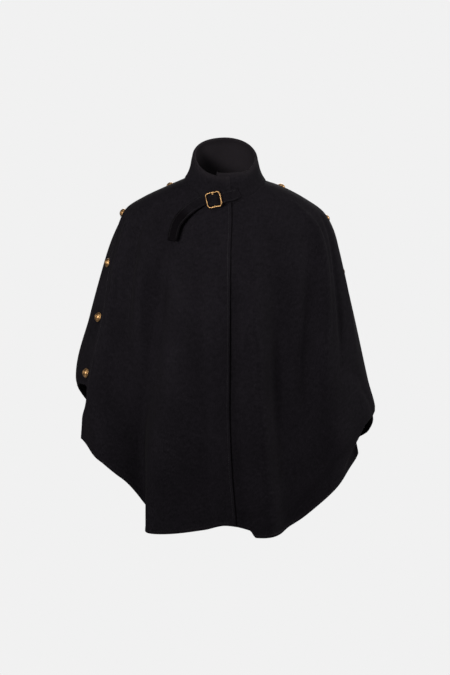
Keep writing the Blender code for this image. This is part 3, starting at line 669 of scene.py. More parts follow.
def stitch_rows(rows):
    """Points and faces of rows of stitches along lines of (points, outward directions).

    A stitch is a six-sided bead of thread, thickest in the middle, laid along its line.
    """
    reach = 0.5 * STITCH_LENGTH * np.array(STITCH_SHARES)[:, None, None]
    thick = THREAD * np.array(STITCH_SHAPE)[:, None, None]
    cosine, sine = circle_of(STITCH_SIDES).T[:, :, None]
    all_points, all_faces, made = [], [], 0
    for line, facing in rows:
        gone = arc_lengths(line, 0)
        at = np.arange(0.5 * STITCH_PITCH, gone[-1] - 0.5 * STITCH_PITCH, STITCH_PITCH)
        place = read_along(line, gone, at)
        out = unit(read_along(facing, gone, at))
        along = unit(read_along(line, gone, at + 1) - place)
        across = unit(np.cross(out, along))
        place, out, along, across = (x[:, None, None] for x in (place, out, along, across))
        bead = place + thick * (cosine * across + sine * out) + reach * along
        all_points.append(bead.reshape(-1, 3))
        all_faces.append(bead_faces(len(at), len(STITCH_SHARES), STITCH_SIDES) + made)
        made += bead[..., 0].size
    return np.concatenate(all_points), np.concatenate(all_faces)


def bead_faces(count, rings, steps):
    """Quads round each of a count of beads, each of rings of six points, with closed ends."""
    index = np.arange(count * rings * steps).reshape(count, rings, steps)
    ahead = np.roll(index, -1, axis=2)
    sides = np.stack([index[:, :-1], index[:, 1:], ahead[:, 1:], ahead[:, :-1]], -1)
    foot = index[:, 0][:, [0, 1, 2, 3, 0, 3, 4, 5]].reshape(-1, 4)
    head = index[:, -1][:, [3, 2, 1, 0, 5, 4, 3, 0]].reshape(-1, 4)
    return np.concatenate([sides.reshape(-1, 4), foot, head])


def ring_faces(index):
    """Quads between each ring of point numbers and the next one."""
    ahead = np.roll(index, -1, axis=1)
    return np.stack([index[:-1], ahead[:-1], ahead[1:], index[1:]], -1).reshape(-1, 4)


def turned_surface(profile, steps):
    """Quads turned round Z from (radius, height) points, whose ends lie close to the axis.

    A ring's points are its radius times the cosine and sine of each step, at its height.
    """
    around = profile[:, None, :1] * circle_of(steps)[None]
    heights = np.broadcast_to(profile[:, None, 1:], around.shape[:2] + (1,))
    points = np.concatenate([around, heights], axis=-1).reshape(-1, 3)
    index = np.arange(len(points)).reshape(len(profile), steps)
    return points, ring_faces(index)


def tube(path, normals, radius, steps, closed):
    """Quads of a round tube along a path, which is a closed ring or has open ends.

    Each point is the path's own, plus the radius times the cosine of its step sideways and
    the sine along the normal.
    """
    if closed:
        tangent = unit(np.roll(path, -1, axis=0) - np.roll(path, 1, axis=0))
    else:
        tangent = unit(np.gradient(path, axis=0))
    sideways = np.cross(tangent, normals)
    cosine, sine = radius * circle_of(steps).T[:, None, :, None]
    points = path[:, None] + cosine * sideways[:, None] + sine * normals[:, None]
    index = np.arange(len(path) * steps).reshape(len(path), steps)
    if closed:
        index = np.concatenate([index, index[:1]])
    return points.reshape(-1, 3), ring_faces(index)


# ---- cloth panels -------------------------------------------------------------------


def near_edge(crowding, count):
    """Shares from 0 to 1, closest together near 0."""
    return np.linspace(0, 1, count + 1) ** crowding


def columns_between(*stops):
    """Azimuths along each row: (start, end, shares) spans joined end to end."""
    spans = [
        start[:, None] + (end - start)[:, None] * share[None, :-1] for start, end, share in stops
    ]
    return np.concatenate(spans + [stops[-1][1][:, None]], axis=1)


def panel_rows():
    """Falls of a panel's rows, closest together at the neck and at the hem."""
    lap = SEAM_LAP / FALL_LENGTH
    close = lap * near_edge(EDGE_CROWDING, EDGE_STEPS)
    between = np.linspace(lap, 1 - lap, PANEL_ROWS)
    return np.concatenate([close[:-1], between, 1 - close[-2::-1]])


def add_panel(stem, azimuth, falls, lift, turned, stitched, finishes, darkening_and_painted_shade=0.0):
    """A panel's shell, whose outer skin stands off the drape by lift, and its stitches.

    Turned has, for each turned edge, where on the grid it is turned, and stitched has the
    rows or columns that each row of stitches passes. The shell's middle is the drape plus
    its normal times the lift less half the cloth.
    """
    wool, thread = finishes
    name = stem + "_panel"
    fall = falls[:, None]
    facing = drape_normal(azimuth, fall)
    middle = drape(azimuth, fall) + facing * (lift - 0.5 * CLOTH)[..., None]
    sides = edge_distances(middle)
    bands = [np.where(where, sides[side], FAR_OFF) for side, where in turned.items()]
    points, faces, uv, painted_light_and_wear = cloth_wall(middle, facing, CLOTH, bands, darkening_and_painted_shade=darkening_and_painted_shade)
    piece = new_piece(name + "_cloth", points, faces, wool, "wool_cloth", uv, painted_light_and_wear)
    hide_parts(name)
    skin = middle + facing * (0.5 * CLOTH + TURNED_RISE - STITCH_PULL)
    lines = [
        line_inside(skin, facing, STITCH_INSET, side, passed) for side, passed in stitched.items()
    ]
    stitches = new_piece(stem + "_stitches", *stitch_rows(lines), thread, "wool_cloth")
    return piece, stitches


def line_inside(grid, facing, distance, side, passed):
    """The line on a grid at a distance from one side, with its outward directions.

    Each row, or column at the hem, is read from that side inwards. The line crosses it
    between the last point that lies nearer than the distance and the one after.
    """
    measured = edge_distances(grid)[side]
    if side == "hem":
        grid, facing, measured = (x.swapaxes(0, 1) for x in (grid, facing, measured))
    if side != "first":
        grid, facing, measured = (x[:, ::-1] for x in (grid, facing, measured))
    row = np.arange(len(grid))
    after = np.clip((measured < distance).sum(axis=1), 1, measured.shape[1] - 1)
    near, far = measured[row, after - 1], measured[row, after]
    share = np.clip((distance - near) / (far - near), 0, 1)[:, None]
    line, out = (x[row, after - 1] * (1 - share) + x[row, after] * share for x in (grid, facing))
    return line[passed], out[passed]


def add_front_right(falls, finishes):
    """The right front, which laps over the left one at the closing and over the back.

    It climbs by a layer onto the left one, and is painted darker along its centre edge, a painted
    shade on that edge.
    """
    side = edge("right_front", falls)
    lapped = side + degrees_for(SEAM_LAP, side, falls)
    under, over = under_edge(falls), front_edge(falls)
    lap = near_edge(EDGE_CROWDING, EDGE_STEPS)
    azimuth = columns_between(
        (side, lapped, lap),
        (lapped, under, np.linspace(0, 1, FRONT_STEPS)),
        (under, over, 1 - lap[::-1]),
    )
    rise = degrees_for(LAP_RISE, 0.0, falls)[:, None]
    lift = LAYER * smooth((azimuth - under[:, None] + rise) / rise)
    turned = {"first": True, "last": True, "hem": True}
    stitched = {"first": SIDE_STITCHED, "last": SIDE_STITCHED, "hem": HEM_STITCHED}
    # Painted shade: the right front is painted darker along its centre edge.
    from_closing = (over[:, None] - azimuth) / degrees_for(1.0, over, falls)[:, None]
    darkening_and_painted_shade = RIGHT_PAINTED_SHADE * bell(from_closing, RIGHT_PAINTED_SHADE_WIDTH)
    return add_panel("front_right", azimuth, falls, lift, turned, stitched, finishes, darkening_and_painted_shade)


def add_front_left(falls, finishes):
    """The left front, whose centre edge lies hidden under the right one.

    Its corner at the arm is drawn in below the seam, and beside the closing it is painted darker,
    a painted shadow of the right front's edge.
    """
    under, over = under_edge(falls), front_edge(falls)
    side = edge("left_front", falls)
    lapped = side - degrees_for(SEAM_LAP, side, falls)
    lap = near_edge(EDGE_CROWDING, EDGE_STEPS)
    beside = over + degrees_for(BESIDE_CLOSING, over, falls)
    azimuth = columns_between(
        (under, over, lap),
        (over, beside, np.linspace(0, 1, EDGE_STEPS)),
        (beside, lapped, np.linspace(0, 1, FRONT_STEPS)),
        (lapped, side, 1 - lap[::-1]),
    )
    drawn_in = edge("left_front_in", falls)[:, None]
    lift = -drawn_in * smooth(1 - (side[:, None] - azimuth) / CURL_TURN)
    turned = {"last": True, "hem": azimuth > over[:, None] + HEM_BESIDE}
    stitched = {"last": SIDE_STITCHED, "hem": LEFT_HEM_STITCHED}
    # Painted shadow: the left front is painted darker beside the right front's edge.
    from_closing = (azimuth - over[:, None]) / degrees_for(1.0, over, falls)[:, None]
    darkening_and_painted_shade = LEFT_PAINTED_SHADE * bell(from_closing, LEFT_PAINTED_SHADE_WIDTH)
    return add_panel("front_left", azimuth, falls, lift, turned, stitched, finishes, darkening_and_painted_shade)


def back_lift(azimuth, fall):
    """The back lies a layer low under the fronts and their buttons, and its free edges hang in."""
    low = np.zeros_like(azimuth)
    for side, turn, behind in SIDES:
        front = turn + edge(side + "_front", fall)
        own = turn + edge(side + "_back", fall)
        from_front = behind * (azimuth - front) / degrees_for(1.0, front, fall)
        low += LAYER * (1 - smooth((from_front - STRIP) / LAP_RISE))
        drawn_in = edge(side + "_back_in", fall)
        low += drawn_in * smooth(1 - behind * (azimuth - own) / IN_TURN)
    return -low


def add_back(falls, finishes):
    """The back runs on under both fronts, and below the seams its columns are held behind its
    own edges."""
    left, right = edge("left_front", falls), 360 + edge("right_front", falls)
    left_lap = degrees_for(SEAM_LAP, left, falls)
    right_lap = degrees_for(SEAM_LAP, right, falls)
    lap = near_edge(EDGE_CROWDING, EDGE_STEPS)
    azimuth = columns_between(
        (left - left_lap, left, lap),
        (left, right, np.linspace(0, 1, BACK_STEPS)),
        (right, right + right_lap, 1 - lap[::-1]),
    )
    fall = falls[:, None]
    spread = COLUMN_STEP * SOLID_COLUMNS / BACK_STEPS * np.arange(azimuth.shape[1])
    first = edge("left_back", fall) + spread
    last = 360 + edge("right_back", fall) - spread[::-1]
    azimuth = np.where(fall > SEAM_END_LEFT, np.maximum(azimuth, first), azimuth)
    azimuth = np.where(fall > SEAM_END_RIGHT, np.minimum(azimuth, last), azimuth)
    turned = {
        "first": fall > SEAM_END_LEFT + BAND_BELOW,
        "last": fall > SEAM_END_RIGHT + BAND_BELOW,
        "hem": True,
    }
    lift = back_lift(azimuth, fall)
    return add_panel("back", azimuth, falls, lift, turned, {"hem": HEM_STITCHED}, finishes)


# ---- collar -------------------------------------------------------------------------


def collar_base(azimuth):
    """Where the collar's middle meets the panels' outer neck edge."""
    azimuth = wrapped(azimuth)
    climbed = smooth((azimuth - CLOSING_FROM) / CLOSING_CLIMB)
    closing = climbed * (1 - smooth((azimuth - OVER_END - 1) / CLOSING_DROP))
    base = lifted(azimuth, 0.0, LAYER * closing)
    base[..., 2] += NECK_GAP
    return base


def collar(azimuth, share):
    """Middle of the collar's wall, before its ends move in or out.

    The plan goes from the neck seam's to the rim's with a flare that dies away upwards, and
    the height rises evenly from one to the other. The rim is a slightly squared ellipse that
    tips forward and rises on the wearer's right with the square of the azimuth's sine.
    """
    azimuth, share = np.broadcast_arrays(np.asarray(azimuth, float), np.asarray(share, float))
    sine = np.sin(np.radians(azimuth))
    cosine = np.cos(np.radians(azimuth))
    depth = np.where(cosine > 0, RIM_FRONT, RIM_BACK)
    middle_height = 0.5 * (RIM_FRONT_HEIGHT + RIM_BACK_HEIGHT)
    tip = 0.5 * (RIM_BACK_HEIGHT - RIM_FRONT_HEIGHT)
    height = middle_height - tip * cosine + RIM_RIGHT_RISE * np.minimum(sine, 0) ** 2
    corner = 1 + RIM_SQUARE * (2 * sine * cosine) ** 2
    rim = np.stack([RIM_HALF * sine * corner, -depth * cosine * corner, height], axis=-1)
    base = collar_base(azimuth)
    flare = (1 - np.clip(share, 0, 1)) ** COLLAR_FLARE
    weight = np.stack([flare, flare, 1 - share], axis=-1)
    return base * weight + rim * (1 - weight)


def collar_normal(azimuth, share):
    """Unit vectors out of the collar: a small step round it crossed with one up its share."""
    round_it = collar(azimuth + 1.0, share) - collar(azimuth - 1.0, share)
    up_it = collar(azimuth, share + 0.02) - collar(azimuth, share - 0.02)
    return unit(np.cross(round_it, up_it))


def off_collar(azimuth, share, lift):
    """Points that stand off the collar's middle by lift."""
    azimuth, share, lift = np.broadcast_arrays(azimuth, share, lift)
    return collar(azimuth, share) + collar_normal(azimuth, share) * lift[..., None]


def add_collar(wool):
    """One strip from the end underneath, round the neck, to the end that shows over it.

    The ring is moved in at its first end and out at its last. Its cloth settles into low
    waves: a sine that runs aslant round the strip, times one that dies away at the rim and
    at the foot, times one round the neck. The rim swells, leans in and is rolled.
    """
    last = 360 + UNDER_END
    lap = np.linspace(UNDER_END, OVER_END, COLLAR_LAP_STEPS)
    round_neck = np.linspace(OVER_END, last, COLLAR_STEPS)[1:-1]
    azimuth = np.concatenate([lap, round_neck, 360 + lap])[None]
    rim = 1 - RIM_SHARE * near_edge(RIM_CROWDING, RIM_RINGS)
    share = np.concatenate([rim[:-1], np.linspace(rim[-1], -COLLAR_TUCK, COLLAR_RINGS)])[:, None]
    inward = 1 - smooth((azimuth - OVER_END) / LAP_TURN)
    outward = smooth((azimuth - last + LAP_TURN) / LAP_TURN)
    ring = COLLAR_LAP * (outward - inward)
    turn, up = np.radians(azimuth), share
    settled = COLLAR_EASE * np.sin(3 * turn + 4 * up) * np.sin(np.pi * up) * np.sin(5 * turn + 1.1)
    facing = collar_normal(azimuth, share)
    middle = off_collar(azimuth, share, ring + settled)
    middle[..., 2] += UNDER_RISE * inward * smooth(share)
    sides = edge_distances(middle)
    from_rim = sides["top"]
    thin = COLLAR_THIN * (1 - smooth(sides["last"] / COLLAR_THIN_WIDTH))
    rolled = ROLL_SWELL * bell(from_rim - ROLL_WIDTH, ROLL_WIDTH)
    wall = (COLLAR_WALL + 2 * rolled) * (1 - thin)
    leans = RIM_LEAN * bell(from_rim, RIM_LEAN_WIDTH)
    middle = middle - facing * (0.5 * COLLAR_WALL * thin + leans)[..., None]
    # The collar's whole inside is painted paler, painted light within the collar.
    points, faces, uv, painted_light_and_wear = cloth_wall(
        middle, facing, wall, [], ROLL_WIDTH, pale_painted_light=COLLAR_INSIDE_PAINTED_LIGHT
    )
    # Painted highlight: a band along the rim is painted paler, as if lit on the top of its roll.
    rim_painted_highlight = RIM_PAINTED_HIGHLIGHT * bell(from_rim, RIM_BAND).ravel()
    painted_light_and_wear[: rim_painted_highlight.size] = np.maximum(painted_light_and_wear[: rim_painted_highlight.size], rim_painted_highlight)
    piece = new_piece("collar_cloth", points, faces, wool, "wool_cloth", uv, painted_light_and_wear)
    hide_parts("collar")
    return piece


# ---- strap and buckle ---------------------------------------------------------------


def line_through(knots, stops, steps):
    """So many points, evenly spread, of a smooth curve through the stops."""
    at = np.linspace(0, knots[-1], steps)
    return np.stack([curve_through(knots, stops[:, k], at) for k in range(3)], axis=-1)


def strap_path(steps):
    """The strap's middle line and the way its outer side faces, evenly read."""
    azimuth, share = column(STRAP_ROUTE, "azimuth"), column(STRAP_ROUTE, "share")
    on_collar = off_collar(azimuth, share, column(STRAP_ROUTE, "lift"))
    facing = collar_normal(azimuth, share)
    azimuth, fall = column(TONGUE_ROUTE, "azimuth"), column(TONGUE_ROUTE, "fall")
    hanging = lifted(azimuth, fall, column(TONGUE_ROUTE, "lift"))
    stops = np.concatenate([on_collar, hanging])
    facing = np.concatenate([facing, drape_normal(azimuth, fall) - [0, 0, TONGUE_TWIST]])
    knots = arc_lengths(stops, 0)
    return line_through(knots, stops, steps), unit(line_through(knots, facing, steps))


def band_grid(path, normals, width, columns):
    """Middle points of a flat band along a path, and the way its outer side faces.

    Each column is the path moved across by a share of the width, and the shares follow a
    sine, so that the columns lie closest together along the band's two edges.
    """
    tangent = unit(np.gradient(path, axis=0))
    across = unit(np.cross(normals, tangent))
    outward = np.cross(tangent, across)
    share = 0.5 * np.sin(0.5 * np.pi * np.linspace(-1, 1, columns))
    middle = path[:, None] + share[None, :, None] * np.reshape(width, (-1, 1, 1)) * across[:, None]
    return middle, np.broadcast_to(outward[:, None], middle.shape)


def add_strap(finishes):
    """Two layers of cloth stitched along both edges, with the tongue hanging free."""
    wool, thread = finishes
    path, normals = strap_path(STRAP_STEPS)
    from_tip = np.linspace(1, 0, len(path)) * arc_lengths(path, 0)[-1]
    width = STRAP_WIDTH * (TONGUE_END + (1 - TONGUE_END) * rounded(from_tip, TONGUE_ROUND))
    middle, facing = band_grid(path, normals, width, STRAP_COLUMNS)
    nearest = np.minimum.reduce(list(edge_distances(middle).values()))
    pad = STRAP_PAD * smooth(nearest / STRAP_PAD_WIDTH)
    pad = pad - STRAP_PULL * bell(nearest - STRAP_INSET, STRAP_PULL_WIDTH)
    middle = middle + pad[..., None] * facing
    # The whole strap is a shade darker, and the tongue darker still, painted shade where it hangs
    # turned down.
    darkening_and_painted_shade = STRAP_DARKENING + TONGUE_PAINTED_SHADE * smooth((TONGUE_LENGTH - from_tip) / TONGUE_FADE)
    points, faces, uv, painted_light_and_wear = cloth_wall(middle, facing, STRAP_WALL, [], darkening_and_painted_shade=darkening_and_painted_shade[:, None])
    piece = new_piece("neck_strap_cloth", points, faces, wool, "wool_cloth", uv, painted_light_and_wear)
    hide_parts("neck_strap")
    skin = middle + facing * (0.5 * STRAP_WALL + THREAD_LIFT)
    lines = [
        line_inside(skin, facing, STRAP_INSET, side, STRAP_STITCHED) for side in ("first", "last")
    ]
    stitches = new_piece("neck_strap_stitches", *stitch_rows(lines), thread, "wool_cloth")
    return piece, stitches


def buckle_place():
    """The buckle's own frame, in millimetres: X towards the wearer's left, Y up, Z outwards."""
    middle = off_collar(BUCKLE_AZIMUTH, BUCKLE_SHARE, BUCKLE_LIFT)
    out = Vector(collar_normal(BUCKLE_AZIMUTH, BUCKLE_SHARE))
    aside = Vector((0, 0, 1)).cross(out).normalized()
    axes = Matrix((aside, out.cross(aside), out)).transposed()
    turn = Matrix.Rotation(math.radians(BUCKLE_TURN), 3, "Z")
    return np.array(Matrix.Translation(Vector(middle)) @ (axes @ turn).to_4x4())


def placed(points, place):
    """Points of a piece's own frame, moved to where its matrix puts them."""
    return points @ place[:3, :3].T + place[:3, 3]


def add_buckle(gold):
    """A square of round wire with round corners, and a bar between two of its sides.

    The wire's path is a circle of the corner's radius, whose four quarters are moved apart
    into the corners of the square.
    """
    round_it = circle_of(BUCKLE_STEPS, 0.5)
    reach = 0.5 * BUCKLE_SIDE
    path = np.zeros((BUCKLE_STEPS, 3))
    path[:, :2] = np.sign(round_it) * (reach - BUCKLE_CORNER) + BUCKLE_CORNER * round_it
    up = np.broadcast_to([0.0, 0.0, 1.0], path.shape)
    points, faces = tube(path, up, BUCKLE_WIRE - PLATING_EASE, WIRE_SIDES, closed=True)
    bar_path = np.zeros((BAR_STEPS, 3))
    bar_path[:, 1] = np.linspace(-reach, reach, BAR_STEPS)
    bar, bar_faces = tube(bar_path, up[:BAR_STEPS], BUCKLE_BAR, BAR_SIDES, closed=False)
    faces = np.concatenate([faces, bar_faces + len(points)])
    points = placed(np.concatenate([points, bar]), buckle_place())
    piece = new_piece("buckle_wire", points, faces, gold, "gold_metal")
    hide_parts("buckle")


def add_buckle_tab(wool):
    """A strip sewn to the collar, looped once round the buckle's bar and back.

    Its path runs up its lower layer, round the bar on a part of a circle, and back down its
    upper layer, which lies on the lower one. Each normal is the tangent turned a quarter.
    """
    bend = BUCKLE_BAR + GAP + 0.5 * TAB_WALL
    lower = -bend - TAB_DROP
    upper = lower + TAB_WALL + GAP
    turn = np.radians(np.linspace(-90, TAB_LOOP_END, TAB_LOOP_STEPS))
    loop = np.stack([bend * np.cos(turn), 0 * turn, bend * np.sin(turn)], axis=-1)
    flat = -TAB_TAIL * TAB_LENGTH
    climbed = [-TAB_BEND, 0, lower + TAB_CLIMB]
    tail = [[-TAB_LENGTH, 0, lower], [flat, 0, lower], climbed]
    climbed = [-TAB_BEND + GAP, 0, upper + TAB_CLIMB]
    back = [climbed, [flat, 0, upper], [-TAB_LENGTH, 0, upper]]
    stops = np.concatenate([tail, loop, back])
    path = line_through(arc_lengths(stops, 0), stops, TAB_STEPS)
    tangent = unit(np.gradient(path, axis=0))
    normals = np.stack([tangent[:, 2], 0 * tangent[:, 1], -tangent[:, 0]], axis=-1)
    middle, facing = band_grid(path, normals, TAB_WIDTH, TAB_COLUMNS)
    points, faces, uv, painted_light_and_wear = cloth_wall(middle, facing, TAB_WALL, [], TAB_ROUND_EDGE)
    points = placed(points, buckle_place())
    piece = new_piece("buckle_tab_cloth", points, faces, wool, "wool_cloth", uv, painted_light_and_wear)
    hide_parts("buckle_tab")
    return piece


# ---- buttons ------------------------------------------------------------------------


def button_profile():
    """(radius, height) from the foot of the shank, round a rolled rim, up over the dome.

    The rim is a part of a circle, and the dome a quarter of an ellipse.
    """
    roll = np.radians(np.linspace(-90, RIM_ROLL_END, RIM_ROLL_STEPS))
    lip = 0.5 * BUTTON_RIM
    edge_at = BUTTON_RADIUS - lip, BUTTON_SHANK + lip
    rolled = np.stack([edge_at[0] + lip * np.cos(roll), edge_at[1] + lip * np.sin(roll)], -1)
    rise = np.radians(np.linspace(DOME_START, DOME_END, DOME_STEPS))
    foot_of_dome = BUTTON_SHANK + BUTTON_RIM - DOME_SINK
    height = foot_of_dome + (BUTTON_DOME + DOME_EXTRA) * np.sin(rise)
    dome = np.stack([(BUTTON_RADIUS - BUTTON_RIM) * np.cos(rise), height], -1)
    shank = [(BUTTON_HOLE, 0), (BUTTON_SHANK_RADIUS, 0), (BUTTON_SHANK_RADIUS, BUTTON_SHANK)]
    return np.concatenate([shank, rolled, dome])


def add_buttons(gold):
    """Sewn on the back's outer side, just behind each front's edge, at an even pitch."""
    points, faces = turned_surface(button_profile(), BUTTON_SIDES)
    fall = np.linspace(0, 1, SEAM_READINGS)
    for side, turn, behind in reversed(SIDES):
        gone = arc_lengths(drape(turn + edge(side + "_front", fall), fall), 0)
        for number in range(BUTTONS_A_SIDE):
            at = np.interp(BUTTON_FIRST + BUTTON_PITCH * number, gone, fall)
            azimuth = turn + edge(side + "_front", at)
            azimuth = azimuth + behind * degrees_for(BUTTON_INSET, azimuth, at)
            lift = back_lift(np.asarray(azimuth), np.asarray(at)) + GAP
            place = Matrix.Translation(Vector(lifted(azimuth, at, lift)))
            out = Vector(drape_normal(azimuth, at)).to_track_quat("Z", "Y")
            node = f"button_{side}_{number + 1}"
            where = np.array(place @ out.to_matrix().to_4x4())
            piece = new_piece(node + "_metal", placed(points, where), faces, gold, "gold_metal")
            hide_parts(node)


# ---- finishes -----------------------------------------------------------------------


def linear(sheet_colour):
    """An sRGB hex colour as linear red, green, blue and alpha."""
    shares = np.array([int(sheet_colour[k : k + 2], 16) for k in (1, 3, 5)]) / 255
    dark = shares <= 0.04045
    return (*np.where(dark, shares / 12.92, ((shares + 0.055) / 1.055) ** 2.4), 1.0)


def add_node(tree, kind, settings=(), inputs=(), ramp=()):
    """A node with its settings, each input a value or another node's output, and the ramp's
    stops, each a position and an sRGB hex colour."""
    node = tree.nodes.new(kind)
    for name, value in dict(settings).items():
        setattr(node, name, value)
    for name, value in dict(inputs).items():
        if isinstance(value, bpy.types.NodeSocket):
            tree.links.new(value, node.inputs[name])
        else:
            node.inputs[name].default_value = value
    for number, (position, colour) in enumerate(ramp):
        node.color_ramp.elements[number].position = position
        node.color_ramp.elements[number].color = linear(colour)
    return node


def new_material(name, **constants):
    """A material, its tree and its shader, with the shader's constant sockets set."""
    material = bpy.data.materials.new(name)
    material.use_nodes = True
    shader = material.node_tree.nodes["Principled BSDF"]
    for socket, value in constants.items():
        shader.inputs[socket.replace("_", " ")].default_value = value
    return material, material.node_tree, shader


def felted_wool():
    """Black wool melton, woven, milled and brushed: a matt nap, laid downwards, that hides the
    weave. The noise of its fibres picks a colour between two shades of black, and clumps of
    them and drifts in the dye make it a little darker or paler. Where painted light and wear lie
    it is a shade paler, a painted highlight on edges and rim and painted light inside the collar,
    and where it is darkened, with painted shade at the closing and on the strap's tongue, it is
    nearly black."""
    # The two blacks of the fibres, the paler colour of painted light and wear, and the near black
    # of painted shade.
    deep_black, faded_black, pale_painted_light, darkening_and_shade_black = "#070608", "#141215", "#1D1A1C", "#040304"
    material, tree, shader = new_material(
        "black_wool_melton",
        Roughness=0.9,
        Specular_IOR_Level=0.02,
        Sheen_Weight=0.01,
        Sheen_Roughness=0.42,
        Sheen_Tint=linear("#CFC6C4"),
    )
    cloth = add_node(tree, "ShaderNodeUVMap", {"uv_map": "cloth_metres"}).outputs["UV"]
    combed = add_node(
        tree, "ShaderNodeMapping", inputs={"Vector": cloth, "Scale": (1.0, 0.35, 1.0)}
    ).outputs["Vector"]
    # Fibres, clumps and drifts, by their sizes in millimetres. The fibres are far finer in
    # life, and are drawn as coarse as they need to show.
    fibres, clumps, drifts = (
        add_node(
            tree,
            "ShaderNodeTexNoise",
            inputs={"Vector": on, "Scale": 1 / (size * MM), "Detail": detail, "Roughness": rough},
        ).outputs[0]
        for on, size, detail, rough in (
            (combed, 1.8, 4.0, 0.65),
            (cloth, 9, 3.0, 0.6),
            (cloth, 90, 2.0, 0.5),
        )
    )
    ramp = (0.30, deep_black), (0.72, faded_black)
    body = add_node(tree, "ShaderNodeValToRGB", inputs={"Fac": fibres}, ramp=ramp)
    clumped, drifted = (
        add_node(
            tree,
            "ShaderNodeMapRange",
            inputs={"Value": on, "From Min": 0.3, "From Max": 0.7, "To Min": low, "To Max": high},
        ).outputs["Result"]
        for on, low, high in ((clumps, 0.8, 1.2), (drifts, 0.88, 1.12))
    )
    both = add_node(tree, "ShaderNodeMath", {"operation": "MULTIPLY"}, {0: clumped, 1: drifted})
    toned = add_node(
        tree,
        "ShaderNodeVectorMath",
        {"operation": "SCALE"},
        {0: body.outputs["Color"], "Scale": both.outputs["Value"]},
    )
    # The painted light and shade, with a little wear, that each piece carries.
    painted_light_and_wear_factor = add_node(tree, "ShaderNodeAttribute", {"attribute_name": "wear_and_painted_light"}).outputs["Fac"]
    darkening_and_painted_shade = add_node(tree, "ShaderNodeMath", {"operation": "MULTIPLY"}, {0: painted_light_and_wear_factor, 1: -1.0})
    colour = toned.outputs["Vector"]
    # Mix in the paler colour where painted light and wear lie, and the near black where painted
    # shade lies.
    for share, shade in ((painted_light_and_wear_factor, pale_painted_light), (darkening_and_painted_shade.outputs["Value"], darkening_and_shade_black)):
        colour = add_node(
            tree,
            "ShaderNodeMix",
            {"data_type": "RGBA"},
            {"Factor": share, 6: colour, 7: linear(shade)},
        ).outputs[2]
    tree.links.new(colour, shader.inputs["Base Color"])
    soft = add_node(
        tree,
        "ShaderNodeBump",
        inputs={"Height": clumps, "Distance": 0.5 * MM, "Strength": 0.35},
    ).outputs["Normal"]
    fine = add_node(
        tree,
        "ShaderNodeBump",
        inputs={"Height": fibres, "Distance": 0.25 * MM, "Strength": 0.5, "Normal": soft},
    ).outputs["Normal"]
    tree.links.new(fine, shader.inputs["Normal"])
    return material


def sewing_thread():
    """Black spun polyester thread: a faint gloss that picks the stitches out of the wool, and
    a noise that picks a colour between two shades of black for the twist of its plies."""
    deep_black, faded_black = "#0C0B0C", "#171517"
    ply = 1.0  # millimetres; plies are finer in life, and drawn as coarse as they need to show
    material, tree, shader = new_material(
        "black_sewing_thread", Roughness=0.6, Specular_IOR_Level=0.15
    )
    place = add_node(tree, "ShaderNodeTexCoord").outputs["Object"]
    twist = add_node(
        tree,
        "ShaderNodeTexNoise",
        inputs={"Vector": place, "Scale": 1 / (ply * MM), "Detail": 2.0},
    ).outputs[0]
    ramp = (0.35, deep_black), (0.65, faded_black)
    body = add_node(tree, "ShaderNodeValToRGB", inputs={"Fac": twist}, ramp=ramp)
    tree.links.new(body.outputs["Color"], shader.inputs["Base Color"])
    return material


def gold_plate():
    """Zinc alloy, cast and plated in an antique gold: a muted, brownish shine. A haze from
    handling picks its colour between brown and gold, and its roughness too, and a finer noise
    stands for scratches."""
    brown, dull_gold = "#6E5236", "#9C7A50"
    cloud, scratch = 6, 0.7  # millimetres; scratches are drawn as coarse as they need to show
    material, tree, shader = new_material("antique_gold_plate", Metallic=1.0)
    place = add_node(tree, "ShaderNodeTexCoord").outputs["Object"]
    haze = add_node(
        tree,
        "ShaderNodeTexNoise",
        inputs={"Vector": place, "Scale": 1 / (cloud * MM), "Detail": 3.0, "Roughness": 0.6},
    ).outputs[0]
    ramp = (0.35, brown), (0.7, dull_gold)
    plating = add_node(tree, "ShaderNodeValToRGB", inputs={"Fac": haze}, ramp=ramp)
    tree.links.new(plating.outputs["Color"], shader.inputs["Base Color"])
    clouded = add_node(
        tree,
        "ShaderNodeMapRange",
        inputs={"Value": haze, "From Min": 0.3, "From Max": 0.7, "To Min": 0.36, "To Max": 0.5},
    ).outputs["Result"]
    tree.links.new(clouded, shader.inputs["Roughness"])
    scratches = add_node(
        tree,
        "ShaderNodeTexNoise",
        inputs={"Vector": place, "Scale": 1 / (scratch * MM), "Detail": 3.0},
    ).outputs[0]
    bump = add_node(
        tree,
        "ShaderNodeBump",
        inputs={"Height": scratches, "Distance": 0.01 * MM, "Strength": 0.2},
    ).outputs["Normal"]
    tree.links.new(bump, shader.inputs["Normal"])
    return material


# ---- setting ------------------------------------------------------------------------


def add_floor():
    """A round pale floor well below the hem, of uncoated paper, so matt that it shows no
    gloss."""
    rings = np.array(FLOOR_RINGS)[:, None, None] * circle_of(FLOOR_STEPS)[None]
    height = np.full(rings.shape[:2] + (1,), FLOOR_HEIGHT)
    points = np.concatenate([rings, height], axis=-1).reshape(-1, 3)
    faces = ring_faces(np.arange(len(points)).reshape(rings.shape[:2]))[:, ::-1]
    mesh = bpy.data.meshes.new("floor")
    mesh.from_pydata(points.tolist(), [], faces.tolist())
    material, _, shader = new_material("matt_pale_paper", Roughness=0.9)
    shader.inputs["Base Color"].default_value = linear(GROUND_COLOUR)
    mesh.materials.append(material)
    floor = bpy.data.objects.new("floor", mesh)
    bpy.context.scene.collection.objects.link(floor)


def aimed(place, aim):
    """The matrix of a lamp or a camera at a place, whose -Z points at its aim."""
    turn = (Vector(aim) - Vector(place)).to_track_quat("-Z", "Y")
    return Matrix.Translation(place) @ turn.to_matrix().to_4x4()


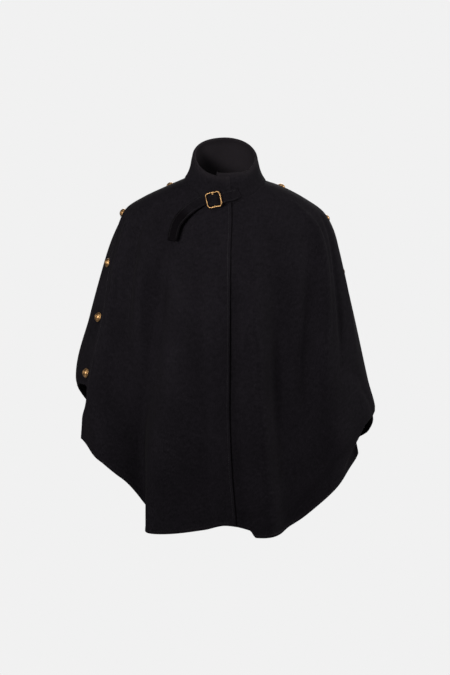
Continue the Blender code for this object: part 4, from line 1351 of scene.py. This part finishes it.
def add_soft_box(box):
    """A rectangular soft light that faces the point it is aimed at."""
    light = bpy.data.lights.new(box.name, "AREA")
    light.shape = "RECTANGLE"
    light.size, light.size_y = box.size
    light.energy = box.watts
    light.spread = math.radians(box.spread)
    lamp = bpy.data.objects.new(box.name, light)
    lamp.matrix_world = aimed(box.place, (0, 0, box.aim))
    bpy.context.scene.collection.objects.link(lamp)


def add_camera():
    """The photograph's viewpoint: 4 m in front of the poncho and 4 degrees above level."""
    scene = bpy.context.scene
    camera = bpy.data.cameras.new("camera")
    camera.sensor_fit = "VERTICAL"
    camera.sensor_height = CAMERA_SENSOR
    camera.lens = CAMERA_LENS
    eye = bpy.data.objects.new("camera", camera)
    rise = math.radians(CAMERA_RISE)
    target = Vector((0, 0, CAMERA_TARGET))
    offset = Vector((0, -math.cos(rise), math.sin(rise))) * CAMERA_DISTANCE
    eye.matrix_world = aimed(target + offset, target)
    scene.collection.objects.link(eye)
    scene.camera = eye


def add_lights():
    """A pale surround that lights little by itself, and the soft boxes."""
    scene = bpy.context.scene
    world = bpy.data.worlds.new("pale_surround")
    world.use_nodes = True
    tree = world.node_tree
    ground = tree.nodes["Background"]
    ground.inputs["Color"].default_value = linear(GROUND_COLOUR)
    seen = add_node(tree, "ShaderNodeLightPath").outputs["Is Camera Ray"]
    strength = add_node(
        tree,
        "ShaderNodeMapRange",
        inputs={"Value": seen, "To Min": SURROUND_LIGHT, "To Max": 1.0},
    ).outputs["Result"]
    tree.links.new(strength, ground.inputs["Strength"])
    scene.world = world
    scene.view_settings.view_transform = "Standard"
    for box in SOFT_BOXES:
        add_soft_box(box)


def main():
    """Every piece, what each sheet of cloth is, and the setting."""
    wool, thread, gold = felted_wool(), sewing_thread(), gold_plate()
    finishes = wool, thread
    falls = panel_rows()
    right, right_stitches = add_front_right(falls, finishes)
    left, left_stitches = add_front_left(falls, finishes)
    back, back_stitches = add_back(falls, finishes)
    collar_cloth = add_collar(wool)
    strap, strap_stitches = add_strap(finishes)
    tab = add_buckle_tab(wool)
    add_buckle(gold)
    add_buttons(gold)
    add_floor()
    add_lights()
    add_camera()


main()
